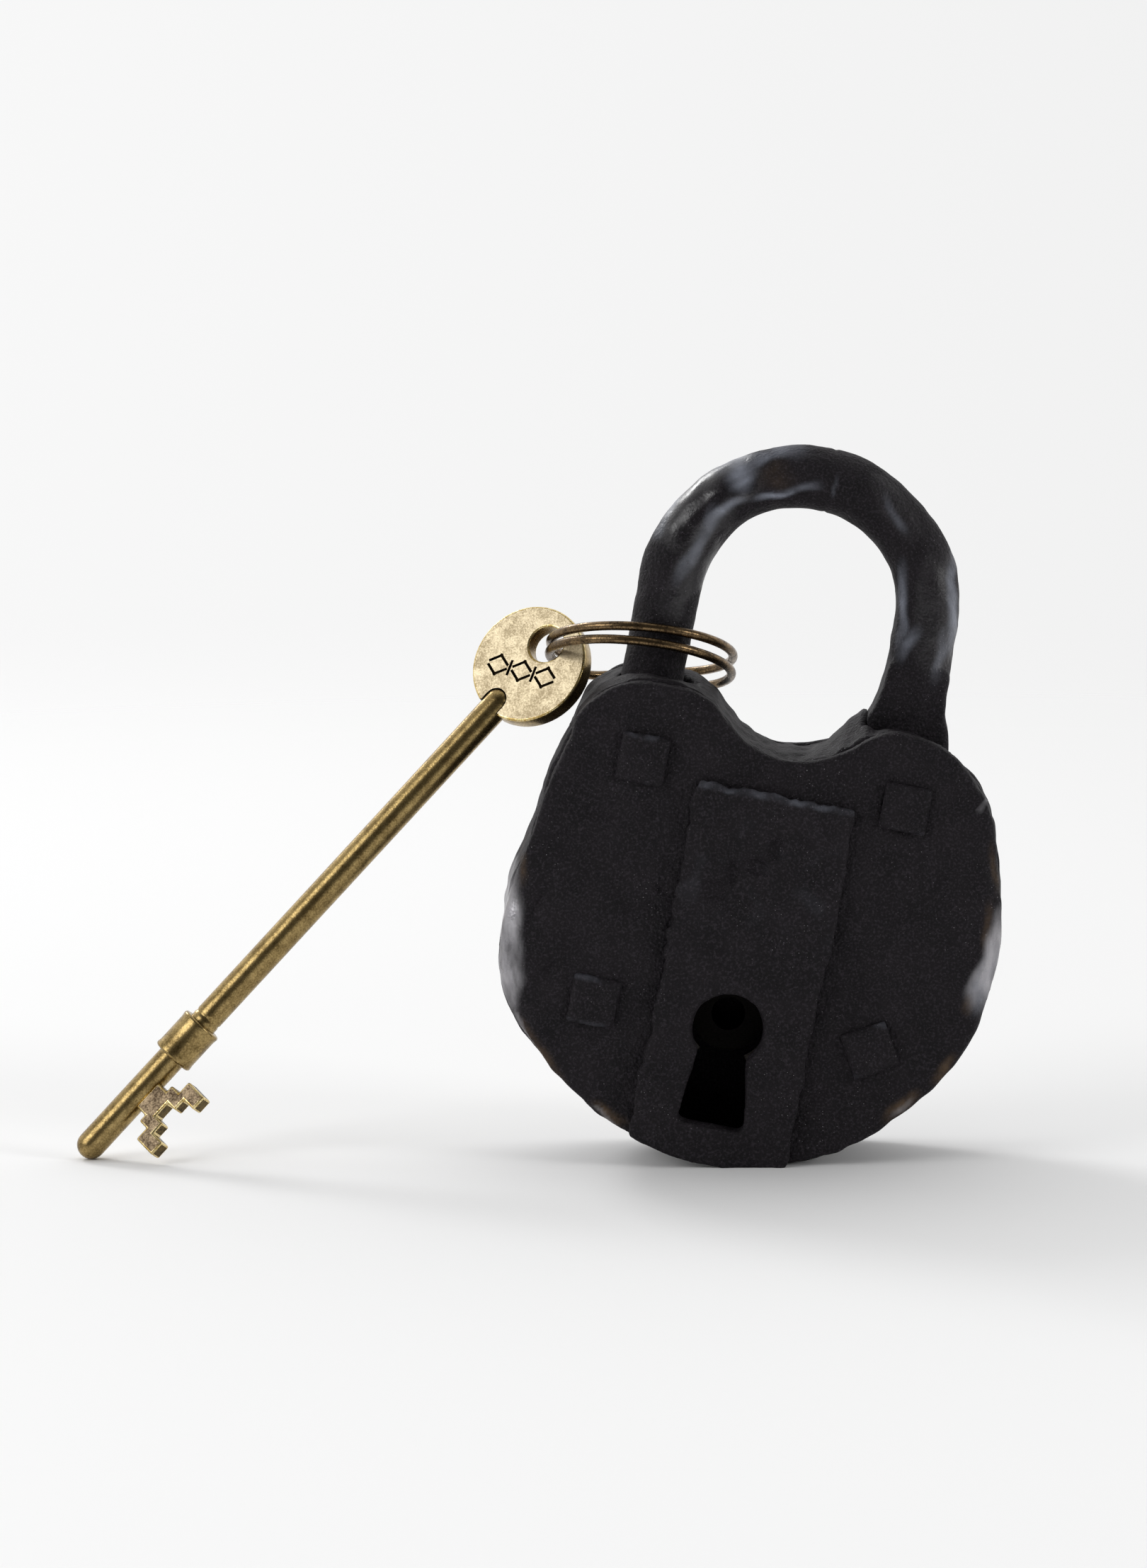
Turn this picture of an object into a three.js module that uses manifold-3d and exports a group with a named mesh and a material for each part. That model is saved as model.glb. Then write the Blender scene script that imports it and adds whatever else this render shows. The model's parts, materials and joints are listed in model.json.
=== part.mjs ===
// A warded padlock of the old English pattern, standing on its rim, with its key on a split ring.
// Millimetres, +Z up, the front faces -Y. The origin is the middle of the small foot under the rim.
// The case, the shackle and the lock work are drawn upright about the middle of the round case,
// and one group then leans them to the side. The ring and the key have groups of their own.
import * as THREE from 'three';
import { mergeVertices } from 'three/addons/utils/BufferGeometryUtils.js';
import Module from 'manifold-3d';

const wasm = await Module();
wasm.setup();

// Clearances
const SEAT_GAP = 0.3; // between two pieces that are fastened together
const RUN_GAP = 0.4; // between a moving piece and what guides it
const OVERCUT = 1; // how far a cutting tool stands out of what it cuts

// Case
const CASE_R = 38;
const CASE_DEPTH = 24;
const PLATE_T = 2.5;
const RIM_T = 2;
const LEAN = THREE.MathUtils.degToRad(11.3);
const FOOT_WIDTH = 11;
const VALLEY_X = -0.7;
const VALLEY_Z = 26;
// Each shoulder is a flat top between an outer and an inner corner. x values are corner centres.
const SHOULDER_LEFT = { top: 34.2, outerX: 22.5, outerR: 11, innerX: 18.5, innerR: 10 };
const SHOULDER_RIGHT = { top: 34.1, outerX: 21.6, outerR: 11.5, innerX: 18, innerR: 10 };

// Strap and keyhole
const STRAP_LEFT = -12.9;
const STRAP_RIGHT = 11.8;
const STRAP_TOP = 21;
const STRAP_T = 1.2;
const KEYHOLE_X = -1;
const KEYHOLE_Z = -16.5;
const KEYHOLE_R = 5.6;
const KEYHOLE_NECK = 3.8;
const KEYHOLE_FLARE = 5.2;
const KEYHOLE_DROP = 15.5;
const KEYHOLE_CORNER = 1;

// Rivets with square heads. The lower two are placed by how far in from the round edge they stand.
const RIVET_R = 1.5;
const RIVET_HEAD = 7;
const RIVET_HEAD_T = 0.6;
const RIVET_TOP_LEFT = { x: -21.8, z: 22.2 };
const RIVET_BOTTOM_LEFT = { inset: 10.6, at: THREE.MathUtils.degToRad(216.2) };
const RIVET_BOTTOM_RIGHT = { inset: 11.76, at: THREE.MathUtils.degToRad(-36.5) };
const RIVET_TURN = THREE.MathUtils.degToRad(-30); // of the head at the bottom right

// Shackle
const BAR_R = 4.8;
const ARCH_R = 20;
const ARCH_X = -2.6;
const ARCH_Z = 48.6;
const TOE_Z = 24.1;
const TOE_TOP_Z = 31.9; // the hardened toe is a piece of its own, with a spigot up into the leg
const SPIGOT_R = 2;
const SPIGOT_H = 3;
const PIVOT_ASIDE = 1.2;
const PIVOT_DROP = 11.8;
const PIVOT_X = SHOULDER_RIGHT.innerX + PIVOT_ASIDE;
const PIVOT_Z = SHOULDER_RIGHT.top - PIVOT_DROP;
const PIN_R = 2.5;
const EYE_R = 7;
const EYE_T = 8.4;
const SPACER_R = 6;
const OPEN_ANGLE = THREE.MathUtils.degToRad(60);
const NECK_HALF = 6.4;
const NECK_Z = SHOULDER_RIGHT.top;
const FLARE_H = 9;
const FLARE_BEND = 2;
const FLARE_SINK = 0.2; // how far the flare's thin end starts inside the bar

// Locking bolt
const THROW = 4.6;
const BOLT_T = 4;
const BOLT_TIP_GAP = 1.2; // from the withdrawn tip to the toe
const BOLT_SIDE_GAP = 0.6; // from the thrown bolt's side to the toe
const BOLT_TOP_GAP = 1.5; // from the bolt's top to the wall of the valley
const BOLT_TIP_H = 2.4;
const BOLT_ARM_W = 3.6;
const BOLT_ARM_SLANT = 4.2;
const BOLT_ARM_ROOT = 4.3; // where the arm starts, left of the middle of the valley
const BOLT_HALF_W = 6.7; // from the talon's middle to the bolt's right side
const BOLT_FOOT_HALF_W = 9.7;
const NOTCH_Z = 26;
const NOTCH_DEPTH = 4.6;
const NOTCH_PLAY = 0.7; // above and below the bolt's tip
const TALON_W = 6.5;
const TALON_H = 4.5;
const STUD_R = 2;
const STUD_BOSS_R = 3.5;
const STUD_NOSE = 1; // how far the studs and the post stand out of the bolt
const STUD_UPPER = { x: -6, z: 15 };
const STUD_LOWER = { x: -2, z: 0 };
const TAIL_TOP = 6;
const TAIL_END = 16;
const SPRING_T = 0.8;
const SPRING_REST = 1; // how much of the leaf still lies on the tail of the thrown bolt
const SPRING_POST_X = 27;
const SPRING_POST_Z = 10.2;
const SPRING_POST_R = 2.5;

// Key, measured from the tip along its axis
const SHANK_R = 2.25;
const SHANK_END = 98.2;
const COLLAR_START = 20.8;
const COLLAR_END = 27.9;
const COLLAR_R = 3.35;
const COLLAR_EDGE = 0.4;
const GROOVE_W = 0.8;
const GROOVE_DEPTH = 0.3;
const BOW_CENTRE = 103.6;
const BOW_R = 9.5;
const BOW_T = 3;
const BOW_HOLE_R = 2.9;
const BOW_HOLE_SHIFT = 4.1;
const BIT_CENTRE = 14.1;
const BIT_WIDTH = 12.1;
const BIT_T = 2.6;
const BIT_DEPTH = 10;
const BIT_ROOT_W = 5;
const BIT_ROOT_DEPTH = 4.2;
const BIT_STEP_W = 7.5;
const BIT_STEP_DEPTH = 6;
const BIT_NOTCH_W = 7;
const BIT_NOTCH_FLOOR = 7.6;
const BIT_SLIT_W = 2.8;
const BIT_SLIT_FLOOR = 5.8;
const KEY_ROLL = THREE.MathUtils.degToRad(35);

// Wards: the middle angles of the two curved walls, and how far each reaches round and outwards
const WARD_LEFT_AT = THREE.MathUtils.degToRad(208);
const WARD_RIGHT_AT = THREE.MathUtils.degToRad(332);
const WARD_HALF_ANGLE = THREE.MathUtils.degToRad(28);
const WARD_POST_T = 2.5;

// Split ring. Its middle is placed from the toe leg, the left shoulder and the back plate.
const RING_R = 14.25;
const WIRE_R = 0.75;
const RING_ASIDE = 2.32;
const RING_ABOVE = 1.2;
const RING_FROM_BACK = 5.8;
const RING_TILT = THREE.MathUtils.degToRad(21);
const RING_ROLL = THREE.MathUtils.degToRad(6);
const COIL_NARROW = 1.8;
const COIL_WIDE = 2.8;
const CROSS_START = THREE.MathUtils.degToRad(40);
const CROSS_ANGLE = THREE.MathUtils.degToRad(50);
const END_ANGLE = THREE.MathUtils.degToRad(14);

// The key's tip rests on the ground, this far in front of the middle of the foot
const TIP_Y = -4;

// Places that follow from the sizes above
const FRONT = -CASE_DEPTH / 2;
const BACK = CASE_DEPTH / 2;
const FRONT_INNER = FRONT + PLATE_T;
const BACK_INNER = BACK - PLATE_T;
const FOOT_HALF_ANGLE = Math.asin(FOOT_WIDTH / 2 / CASE_R);
const FOOT_H = CASE_R * Math.cos(FOOT_HALF_ANGLE);
const TOE_X = ARCH_X - ARCH_R;
const LEG_Z = TOE_TOP_Z + SEAT_GAP;
const HEEL_X = ARCH_X + ARCH_R;
const FLARE_END_Z = NECK_Z + FLARE_H;
// With the key home, its tip is just short of the outside of the back plate
const TIP_HOME_Y = BACK - 0.5;
const BIT_Y = TIP_HOME_Y - BIT_CENTRE;
const BOLT_FRONT = BIT_Y - BOLT_T / 2;
const BOLT_BACK = BIT_Y + BOLT_T / 2;
const BOLT_FOOT_Z = KEYHOLE_Z + BIT_STEP_DEPTH;
const RIVETS = [
  { name: 'rivet_top_left', x: RIVET_TOP_LEFT.x, z: RIVET_TOP_LEFT.z, turn: 0 },
  { name: 'rivet_bottom_left', ...insidePoint(RIVET_BOTTOM_LEFT), turn: 0 },
  { name: 'rivet_bottom_right', ...insidePoint(RIVET_BOTTOM_RIGHT), turn: RIVET_TURN },
];

const BLACK_IRON = { color: 0x1d1b1d, roughness: 0.75, metalness: 0.3 };
const STEEL = { color: 0x8b8a86, roughness: 0.45, metalness: 1 };
const BRASS = { color: 0x8d7442, roughness: 0.4, metalness: 1 };

// A place inside the round case, given by its distance in from the edge and its angle
function insidePoint({ inset, at }) {
  return { x: (CASE_R - inset) * Math.cos(at), z: (CASE_R - inset) * Math.sin(at) };
}

function toSolid(geometry) {
  const bare = geometry.index ? geometry.toNonIndexed() : geometry.clone();
  bare.deleteAttribute('normal');
  bare.deleteAttribute('uv');
  const merged = mergeVertices(bare, 1e-5);
  const mesh = new wasm.Mesh({
    numProp: 3,
    vertProperties: merged.attributes.position.array,
    triVerts: new Uint32Array(merged.index.array),
  });
  return new wasm.Manifold(mesh);
}

function toGeometry(solid) {
  const mesh = solid.getMesh();
  const geometry = new THREE.BufferGeometry();
  geometry.setAttribute('position', new THREE.BufferAttribute(new Float32Array(mesh.vertProperties), 3));
  geometry.setIndex(new THREE.BufferAttribute(new Uint32Array(mesh.triVerts), 1));
  geometry.computeVertexNormals();
  return geometry;
}

function cut(base, ...tools) {
  return toGeometry(tools.reduce((left, tool) => left.subtract(toSolid(tool)), toSolid(base)));
}

function join(base, ...others) {
  return toGeometry(others.reduce((sum, other) => sum.add(toSolid(other)), toSolid(base)));
}

function overlapOf(one, other) {
  return toGeometry(toSolid(one).intersect(toSolid(other)));
}

// An outline drawn in x and z, made solid between two depths
function slab(shape, yFront, yBack, curveSegments = 8) {
  const geometry = new THREE.ExtrudeGeometry(shape, {
    depth: yBack - yFront,
    bevelEnabled: false,
    curveSegments,
  });
  geometry.rotateX(Math.PI / 2);
  geometry.translate(0, yBack, 0);
  return geometry;
}

// A turned piece about a line along Y. The profile is a list of radius and depth, nearest depth first.
function turned(profile, x, z, segments = 20) {
  const geometry = new THREE.LatheGeometry(profile.map(([r, y]) => new THREE.Vector2(r, y)), segments);
  geometry.translate(x, 0, z);
  return geometry;
}

function rod(r, yFront, yBack, x, z, segments = 20) {
  return turned([[0, yFront], [r, yFront], [r, yBack], [0, yBack]], x, z, segments);
}

function tube(rOuter, rInner, yFront, yBack, x, z, segments = 24) {
  const profile = [[rInner, yFront], [rOuter, yFront], [rOuter, yBack], [rInner, yBack], [rInner, yFront]];
  return turned(profile, x, z, segments);
}

function polygon(points) {
  return new THREE.Shape(points.map(([x, y]) => new THREE.Vector2(x, y)));
}

function rectangle(x0, z0, x1, z1) {
  return polygon([[x0, z0], [x1, z0], [x1, z1], [x0, z1]]);
}

// Angle at which the straight flank leaves the round case and meets a shoulder's outer corner
function flankAngle(centreX, centreZ, cornerR) {
  const towards = Math.atan2(centreZ, centreX);
  return towards - Math.acos((CASE_R - cornerR) / Math.hypot(centreX, centreZ));
}

// Corner centres, flank angle and valley radius of one shoulder, drawn for the right-hand side
function shoulder(size, valleyX) {
  const outerZ = size.top - size.outerR;
  const innerZ = size.top - size.innerR;
  const dx = size.innerX - valleyX;
  const dz = VALLEY_Z - innerZ;
  const valleyR = (dx * dx + dz * dz - size.innerR * size.innerR) / (2 * (size.innerR - dz));
  const turn = Math.atan2(VALLEY_Z + valleyR - innerZ, -dx);
  const flank = flankAngle(size.outerX, outerZ, size.outerR);
  return { ...size, outerZ, innerZ, valleyR, turn, flank, valleyTopZ: VALLEY_Z + valleyR };
}

// The outline of the case, moved inwards by inset. It has a flat foot where the leaning case stands.
function caseOutline(inset) {
  const right = shoulder(SHOULDER_RIGHT, VALLEY_X);
  const left = shoulder(SHOULDER_LEFT, -VALLEY_X);
  const foot = LEAN - Math.PI / 2;
  const shape = new THREE.Shape();
  const footAngle = Math.acos((FOOT_H - inset) / (CASE_R - inset));
  shape.absarc(0, 0, CASE_R - inset, Math.PI - left.flank, foot - footAngle + 2 * Math.PI, false);
  shape.absarc(0, 0, CASE_R - inset, foot + footAngle, right.flank, false);
  shape.absarc(right.outerX, right.outerZ, right.outerR - inset, right.flank, Math.PI / 2, false);
  shape.absarc(right.innerX, right.innerZ, right.innerR - inset, Math.PI / 2, right.turn, false);
  shape.absarc(VALLEY_X, right.valleyTopZ, right.valleyR + inset, right.turn - Math.PI, -Math.PI / 2, true);
  shape.absarc(VALLEY_X, left.valleyTopZ, left.valleyR + inset, -Math.PI / 2, -left.turn, true);
  shape.absarc(-left.innerX, left.innerZ, left.innerR - inset, Math.PI - left.turn, Math.PI / 2, false);
  shape.absarc(-left.outerX, left.outerZ, left.outerR - inset, Math.PI / 2, Math.PI - left.flank, false);
  return shape;
}

function keyholeOutline() {
  const neckAngle = Math.asin(KEYHOLE_NECK / KEYHOLE_R);
  const bottom = KEYHOLE_Z - KEYHOLE_DROP;
  const left = KEYHOLE_X - KEYHOLE_FLARE;
  const right = KEYHOLE_X + KEYHOLE_FLARE;
  const shape = new THREE.Shape();
  shape.absarc(KEYHOLE_X, KEYHOLE_Z, KEYHOLE_R, neckAngle - Math.PI / 2, 1.5 * Math.PI - neckAngle, false);
  shape.lineTo(left, bottom + KEYHOLE_CORNER);
  shape.quadraticCurveTo(left, bottom, left + KEYHOLE_CORNER, bottom);
  shape.lineTo(right - KEYHOLE_CORNER, bottom);
  shape.quadraticCurveTo(right, bottom, right, bottom + KEYHOLE_CORNER);
  return shape;
}

// Holes for the three rivets and the shackle's pin, right through a plate
function rivetHoles(yFront, yBack) {
  const holes = RIVETS.map((rivet) => rod(RIVET_R + SEAT_GAP, yFront, yBack, rivet.x, rivet.z));
  holes.push(rod(PIN_R + SEAT_GAP, yFront, yBack, PIVOT_X, PIVOT_Z));
  return holes;
}

function frontPlate() {
  const blank = slab(caseOutline(0), FRONT, FRONT_INNER);
  const toolFront = FRONT - OVERCUT;
  const toolBack = FRONT_INNER + OVERCUT;
  return cut(blank, slab(keyholeOutline(), toolFront, toolBack), ...rivetHoles(toolFront, toolBack));
}

// The back plate has a blind socket where the key's tip turns
function backPlate() {
  const blank = slab(caseOutline(0), BACK_INNER, BACK);
  const socket = rod(SHANK_R + RUN_GAP, BACK_INNER - OVERCUT, TIP_HOME_Y, KEYHOLE_X, KEYHOLE_Z);
  return cut(blank, socket, ...rivetHoles(BACK_INNER - OVERCUT, BACK + OVERCUT));
}

// The rim has a round mouth for the toe, long enough for its arc, and a slot for the heel's swing
function caseRim() {
  const yFront = FRONT_INNER + SEAT_GAP;
  const yBack = BACK_INNER - SEAT_GAP;
  const outline = caseOutline(0);
  outline.holes.push(caseOutline(RIM_T));
  const mouthHalf = BAR_R + RUN_GAP;
  const innerReach = PIVOT_X - TOE_X - BAR_R;
  const lift = SHOULDER_LEFT.top - PIVOT_Z;
  const arcShift = innerReach - Math.sqrt(innerReach ** 2 - lift ** 2);
  const mouth = new THREE.Shape();
  mouth.absarc(TOE_X, 0, mouthHalf, Math.PI / 2, 1.5 * Math.PI, false);
  mouth.absarc(TOE_X + arcShift, 0, mouthHalf, -Math.PI / 2, Math.PI / 2, false);
  const mouthTool = new THREE.ExtrudeGeometry(mouth, {
    depth: CASE_R,
    bevelEnabled: false,
    curveSegments: 8,
  });
  mouthTool.translate(0, 0, TOE_Z);
  // The slot is upright on the side where the heel rests, and turns with the heel on the other side
  const slotLeft = HEEL_X - NECK_HALF - RUN_GAP;
  const slotTop = PIVOT_Z + CASE_R;
  const wallInside = SHOULDER_RIGHT.top - RIM_T - PIVOT_Z;
  const heelAngle = Math.atan2(HEEL_X + NECK_HALF - PIVOT_X + 2 * RUN_GAP, wallInside);
  const swing = new THREE.Shape();
  swing.moveTo(PIVOT_X, PIVOT_Z);
  swing.absarc(PIVOT_X, PIVOT_Z, CASE_R, Math.PI / 2 - OPEN_ANGLE - heelAngle, Math.PI / 2, false);
  swing.lineTo(slotLeft, slotTop);
  swing.lineTo(slotLeft, PIVOT_Z);
  const swingTool = slab(swing, -mouthHalf, mouthHalf);
  return cut(slab(outline, yFront, yBack), mouthTool, swingTool);
}

function keyholeStrap() {
  const yBack = FRONT - SEAT_GAP;
  const yFront = yBack - STRAP_T;
  const bar = slab(rectangle(STRAP_LEFT, -CASE_R, STRAP_RIGHT, STRAP_TOP), yFront, yBack);
  const trimmed = overlapOf(bar, slab(caseOutline(0), yFront - OVERCUT, yBack + OVERCUT));
  return cut(trimmed, slab(keyholeOutline(), yFront - OVERCUT, yBack + OVERCUT));
}

// A round shank through both plates, with a square head outside each
function rivet(x, z, shankR, turn) {
  const half = RIVET_HEAD / 2;
  const head = rectangle(-half, -half, half, half);
  const geometry = join(
    rod(shankR, FRONT - SEAT_GAP - RIVET_HEAD_T / 2, BACK + SEAT_GAP + RIVET_HEAD_T / 2, 0, 0),
    slab(head, FRONT - SEAT_GAP - RIVET_HEAD_T, FRONT - SEAT_GAP),
    slab(head, BACK + SEAT_GAP, BACK + SEAT_GAP + RIVET_HEAD_T),
  );
  geometry.rotateY(turn);
  geometry.translate(x, 0, z);
  return geometry;
}

function heelSpacer(yFront, yBack) {
  return tube(SPACER_R, PIN_R + SEAT_GAP, yFront, yBack, PIVOT_X, PIVOT_Z);
}

// Middle line of the bar: up the toe leg, over the arch and down the heel leg
class ShackleLine extends THREE.Curve {
  getPoint(t, target = new THREE.Vector3()) {
    const toeLength = ARCH_Z - LEG_Z;
    const archLength = Math.PI * ARCH_R;
    const heelLength = ARCH_Z - PIVOT_Z - EYE_R;
    const along = t * (toeLength + archLength + heelLength);
    if (along < toeLength) {
      return target.set(TOE_X, 0, LEG_Z + along);
    }
    if (along > toeLength + archLength) {
      return target.set(HEEL_X, 0, ARCH_Z - (along - toeLength - archLength));
    }
    const angle = Math.PI - (along - toeLength) / ARCH_R;
    return target.set(ARCH_X + ARCH_R * Math.cos(angle), 0, ARCH_Z + ARCH_R * Math.sin(angle));
  }
}

function roundSection(r, sides) {
  const shape = new THREE.Shape();
  for (let i = 0; i < sides; i += 1) {
    const angle = (2 * Math.PI * i) / sides;
    shape[i === 0 ? 'moveTo' : 'lineTo'](r * Math.cos(angle), r * Math.sin(angle));
  }
  return shape;
}

// Flat heel of the shackle: an eye on the pin, and a neck that widens where the leg meets the case
function heelOutline() {
  const shape = new THREE.Shape();
  const left = HEEL_X - NECK_HALF;
  const right = HEEL_X + NECK_HALF;
  shape.moveTo(HEEL_X - BAR_R + FLARE_SINK, FLARE_END_Z);
  shape.quadraticCurveTo(HEEL_X - BAR_R, NECK_Z + FLARE_BEND, left, NECK_Z);
  shape.lineTo(PIVOT_X - EYE_R, PIVOT_Z + EYE_R / 2);
  shape.absarc(PIVOT_X, PIVOT_Z, EYE_R, Math.PI, 2 * Math.PI, false);
  shape.lineTo(right, NECK_Z);
  shape.quadraticCurveTo(HEEL_X + BAR_R, NECK_Z + FLARE_BEND, HEEL_X + BAR_R - FLARE_SINK, FLARE_END_Z);
  return shape;
}

// A round bar standing upright in the toe leg's line
function legRod(r, zLow, zHigh) {
  const geometry = new THREE.ExtrudeGeometry(roundSection(r, 16), {
    depth: zHigh - zLow,
    bevelEnabled: false,
  });
  geometry.translate(TOE_X, 0, zLow);
  return geometry;
}

function shackle() {
  const bar = new THREE.ExtrudeGeometry(roundSection(BAR_R, 16), {
    steps: 48,
    extrudePath: new ShackleLine(),
    bevelEnabled: false,
  });
  const heel = slab(heelOutline(), -EYE_T / 2, EYE_T / 2);
  const toolBack = BAR_R + OVERCUT;
  const pinHole = rod(PIN_R + SEAT_GAP, -toolBack, toolBack, PIVOT_X, PIVOT_Z);
  const bore = legRod(SPIGOT_R + SEAT_GAP, LEG_Z - OVERCUT, LEG_Z + SPIGOT_H);
  return cut(join(bar, heel), pinHole, bore);
}

// The toe has a notch for the bolt's tip, on the side that faces the other leg
function shackleToe() {
  const body = join(legRod(BAR_R, TOE_Z, TOE_TOP_Z), legRod(SPIGOT_R, TOE_Z, TOE_TOP_Z + SPIGOT_H));
  const notchTop = NOTCH_Z + BOLT_TIP_H + 2 * NOTCH_PLAY;
  const notchFloor = TOE_X + BAR_R - NOTCH_DEPTH;
  const toolBack = BAR_R + OVERCUT;
  return cut(body, slab(rectangle(notchFloor, NOTCH_Z, TOE_X + 2 * BAR_R, notchTop), -toolBack, toolBack));
}

// Sliding bolt, drawn withdrawn. Its tip enters the notch in the toe and its talon meets the key's bit.
function lockingBolt() {
  const tipX = TOE_X + BAR_R + BOLT_TIP_GAP;
  const tipLow = NOTCH_Z + NOTCH_PLAY;
  const tipTop = tipLow + BOLT_TIP_H;
  const side = tipX + THROW - BOLT_TIP_GAP + BOLT_SIDE_GAP;
  const top = VALLEY_Z - RIM_T - BOLT_TOP_GAP;
  const talonX = KEYHOLE_X + THROW / 2;
  const talonLeft = talonX - TALON_W / 2;
  const talonRight = talonX + TALON_W / 2;
  const outline = polygon([
    [tipX, tipTop], [tipX, tipLow], [side, tipLow], [side, 0], [side + BOLT_ARM_W, BOLT_FOOT_Z],
    [talonLeft, BOLT_FOOT_Z], [talonLeft, BOLT_FOOT_Z + TALON_H],
    [talonRight, BOLT_FOOT_Z + TALON_H], [talonRight, BOLT_FOOT_Z],
    [talonX + BOLT_FOOT_HALF_W, BOLT_FOOT_Z], [talonX + BOLT_FOOT_HALF_W, 0],
    [TAIL_END, 0], [TAIL_END, TAIL_TOP], [talonX + BOLT_HALF_W, TAIL_TOP],
    [talonX + BOLT_HALF_W, top], [VALLEY_X - BOLT_ARM_ROOT, top],
    [side + BOLT_ARM_W, tipTop - BOLT_ARM_W], [side + BOLT_ARM_W - BOLT_ARM_SLANT, tipTop],
  ]);
  const slots = [STUD_UPPER, STUD_LOWER].map((stud) => {
    const half = STUD_R + RUN_GAP;
    const slot = new THREE.Shape();
    slot.absarc(stud.x, stud.z, half, Math.PI / 2, 1.5 * Math.PI, false);
    slot.absarc(stud.x + THROW, stud.z, half, -Math.PI / 2, Math.PI / 2, false);
    return slab(slot, BOLT_FRONT - OVERCUT, BOLT_BACK + OVERCUT);
  });
  return cut(slab(outline, BOLT_FRONT, BOLT_BACK), ...slots);
}

// A stud on the back plate: a boss that carries the bolt, and a pin through the bolt's slot
function boltStud({ x, z }) {
  const seat = BOLT_BACK + SEAT_GAP;
  const base = BACK_INNER - SEAT_GAP;
  const nose = BOLT_FRONT - STUD_NOSE;
  return turned([
    [0, nose], [STUD_R, nose], [STUD_R, seat], [STUD_BOSS_R, seat], [STUD_BOSS_R, base], [0, base],
  ], x, z);
}

function springPost() {
  return rod(SPRING_POST_R, BOLT_FRONT - STUD_NOSE, BACK_INNER - SEAT_GAP, SPRING_POST_X, SPRING_POST_Z);
}

// A bent leaf from its post to the top of the bolt's tail
function boltSpring() {
  const rootX = SPRING_POST_X - SPRING_POST_R - SEAT_GAP;
  const tipX = TAIL_END - THROW - SPRING_REST;
  const tipZ = TAIL_TOP + SEAT_GAP;
  const bendX = (rootX + tipX) / 2;
  const shape = new THREE.Shape();
  shape.moveTo(rootX, SPRING_POST_Z - SPRING_T / 2);
  shape.quadraticCurveTo(bendX, SPRING_POST_Z - SPRING_T, tipX, tipZ);
  shape.lineTo(tipX, tipZ + SPRING_T);
  shape.quadraticCurveTo(bendX, SPRING_POST_Z, rootX, SPRING_POST_Z + SPRING_T / 2);
  return slab(shape, BOLT_FRONT, BOLT_BACK, 12);
}

// Bearing for the key's tip. Its nose is a ward that fills the step cut at the back of the bit.
function keyBearing() {
  const nose = BIT_Y + BIT_STEP_W / 2 + RUN_GAP;
  const outer = BIT_STEP_DEPTH - SEAT_GAP;
  return tube(outer, SHANK_R + RUN_GAP, nose, BACK_INNER - SEAT_GAP, KEYHOLE_X, KEYHOLE_Z);
}

function sector(rInner, rOuter, from, to) {
  const shape = new THREE.Shape();
  shape.absarc(KEYHOLE_X, KEYHOLE_Z, rOuter, from, to, false);
  shape.absarc(KEYHOLE_X, KEYHOLE_Z, rInner, to, from, true);
  return shape;
}

// A curved ward on a post: a fin for the slit in the bit, a thicker wall for its notch
function ward(middle) {
  const from = middle - WARD_HALF_ANGLE;
  const to = middle + WARD_HALF_ANGLE;
  const postR = BIT_DEPTH + RUN_GAP;
  const outer = postR + WARD_POST_T;
  const fin = BIT_SLIT_W / 2 - RUN_GAP;
  const wall = BIT_NOTCH_W / 2 - RUN_GAP;
  return join(
    slab(sector(BIT_SLIT_FLOOR + RUN_GAP, outer, from, to), BIT_Y - fin, BIT_Y + fin),
    slab(sector(BIT_NOTCH_FLOOR + RUN_GAP, outer, from, to), BIT_Y - wall, BIT_Y + wall),
    slab(sector(postR, outer, from, to), BIT_Y - wall, BACK_INNER - SEAT_GAP),
  );
}

// Key pieces, drawn along local Y from the tip, with the bit towards +X and its faces towards Z
function keyShank() {
  const profile = [];
  const steps = 8;
  for (let i = 0; i <= steps; i += 1) {
    const angle = ((i / steps) * Math.PI) / 2;
    profile.push([SHANK_R * Math.sin(angle), SHANK_R * (1 - Math.cos(angle))]);
  }
  const grooveR = SHANK_R - GROOVE_DEPTH;
  profile.push([SHANK_R, COLLAR_END + GROOVE_W], [grooveR, COLLAR_END + GROOVE_W]);
  profile.push([grooveR, COLLAR_END + 2 * GROOVE_W], [SHANK_R, COLLAR_END + 2 * GROOVE_W]);
  for (let i = 0; i <= steps; i += 1) {
    const angle = ((i / steps) * Math.PI) / 2;
    profile.push([SHANK_R * Math.cos(angle), SHANK_END - SHANK_R * (1 - Math.sin(angle))]);
  }
  profile[0][0] = 0;
  profile[profile.length - 1][0] = 0;
  return turned(profile, 0, 0);
}

function keyCollar() {
  const bore = SHANK_R + SEAT_GAP;
  const face = COLLAR_R - COLLAR_EDGE;
  return turned([
    [bore, COLLAR_START], [face, COLLAR_START], [COLLAR_R, COLLAR_START + COLLAR_EDGE],
    [COLLAR_R, COLLAR_END - COLLAR_EDGE], [face, COLLAR_END], [bore, COLLAR_END], [bore, COLLAR_START],
  ], 0, 0, 24);
}

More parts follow.
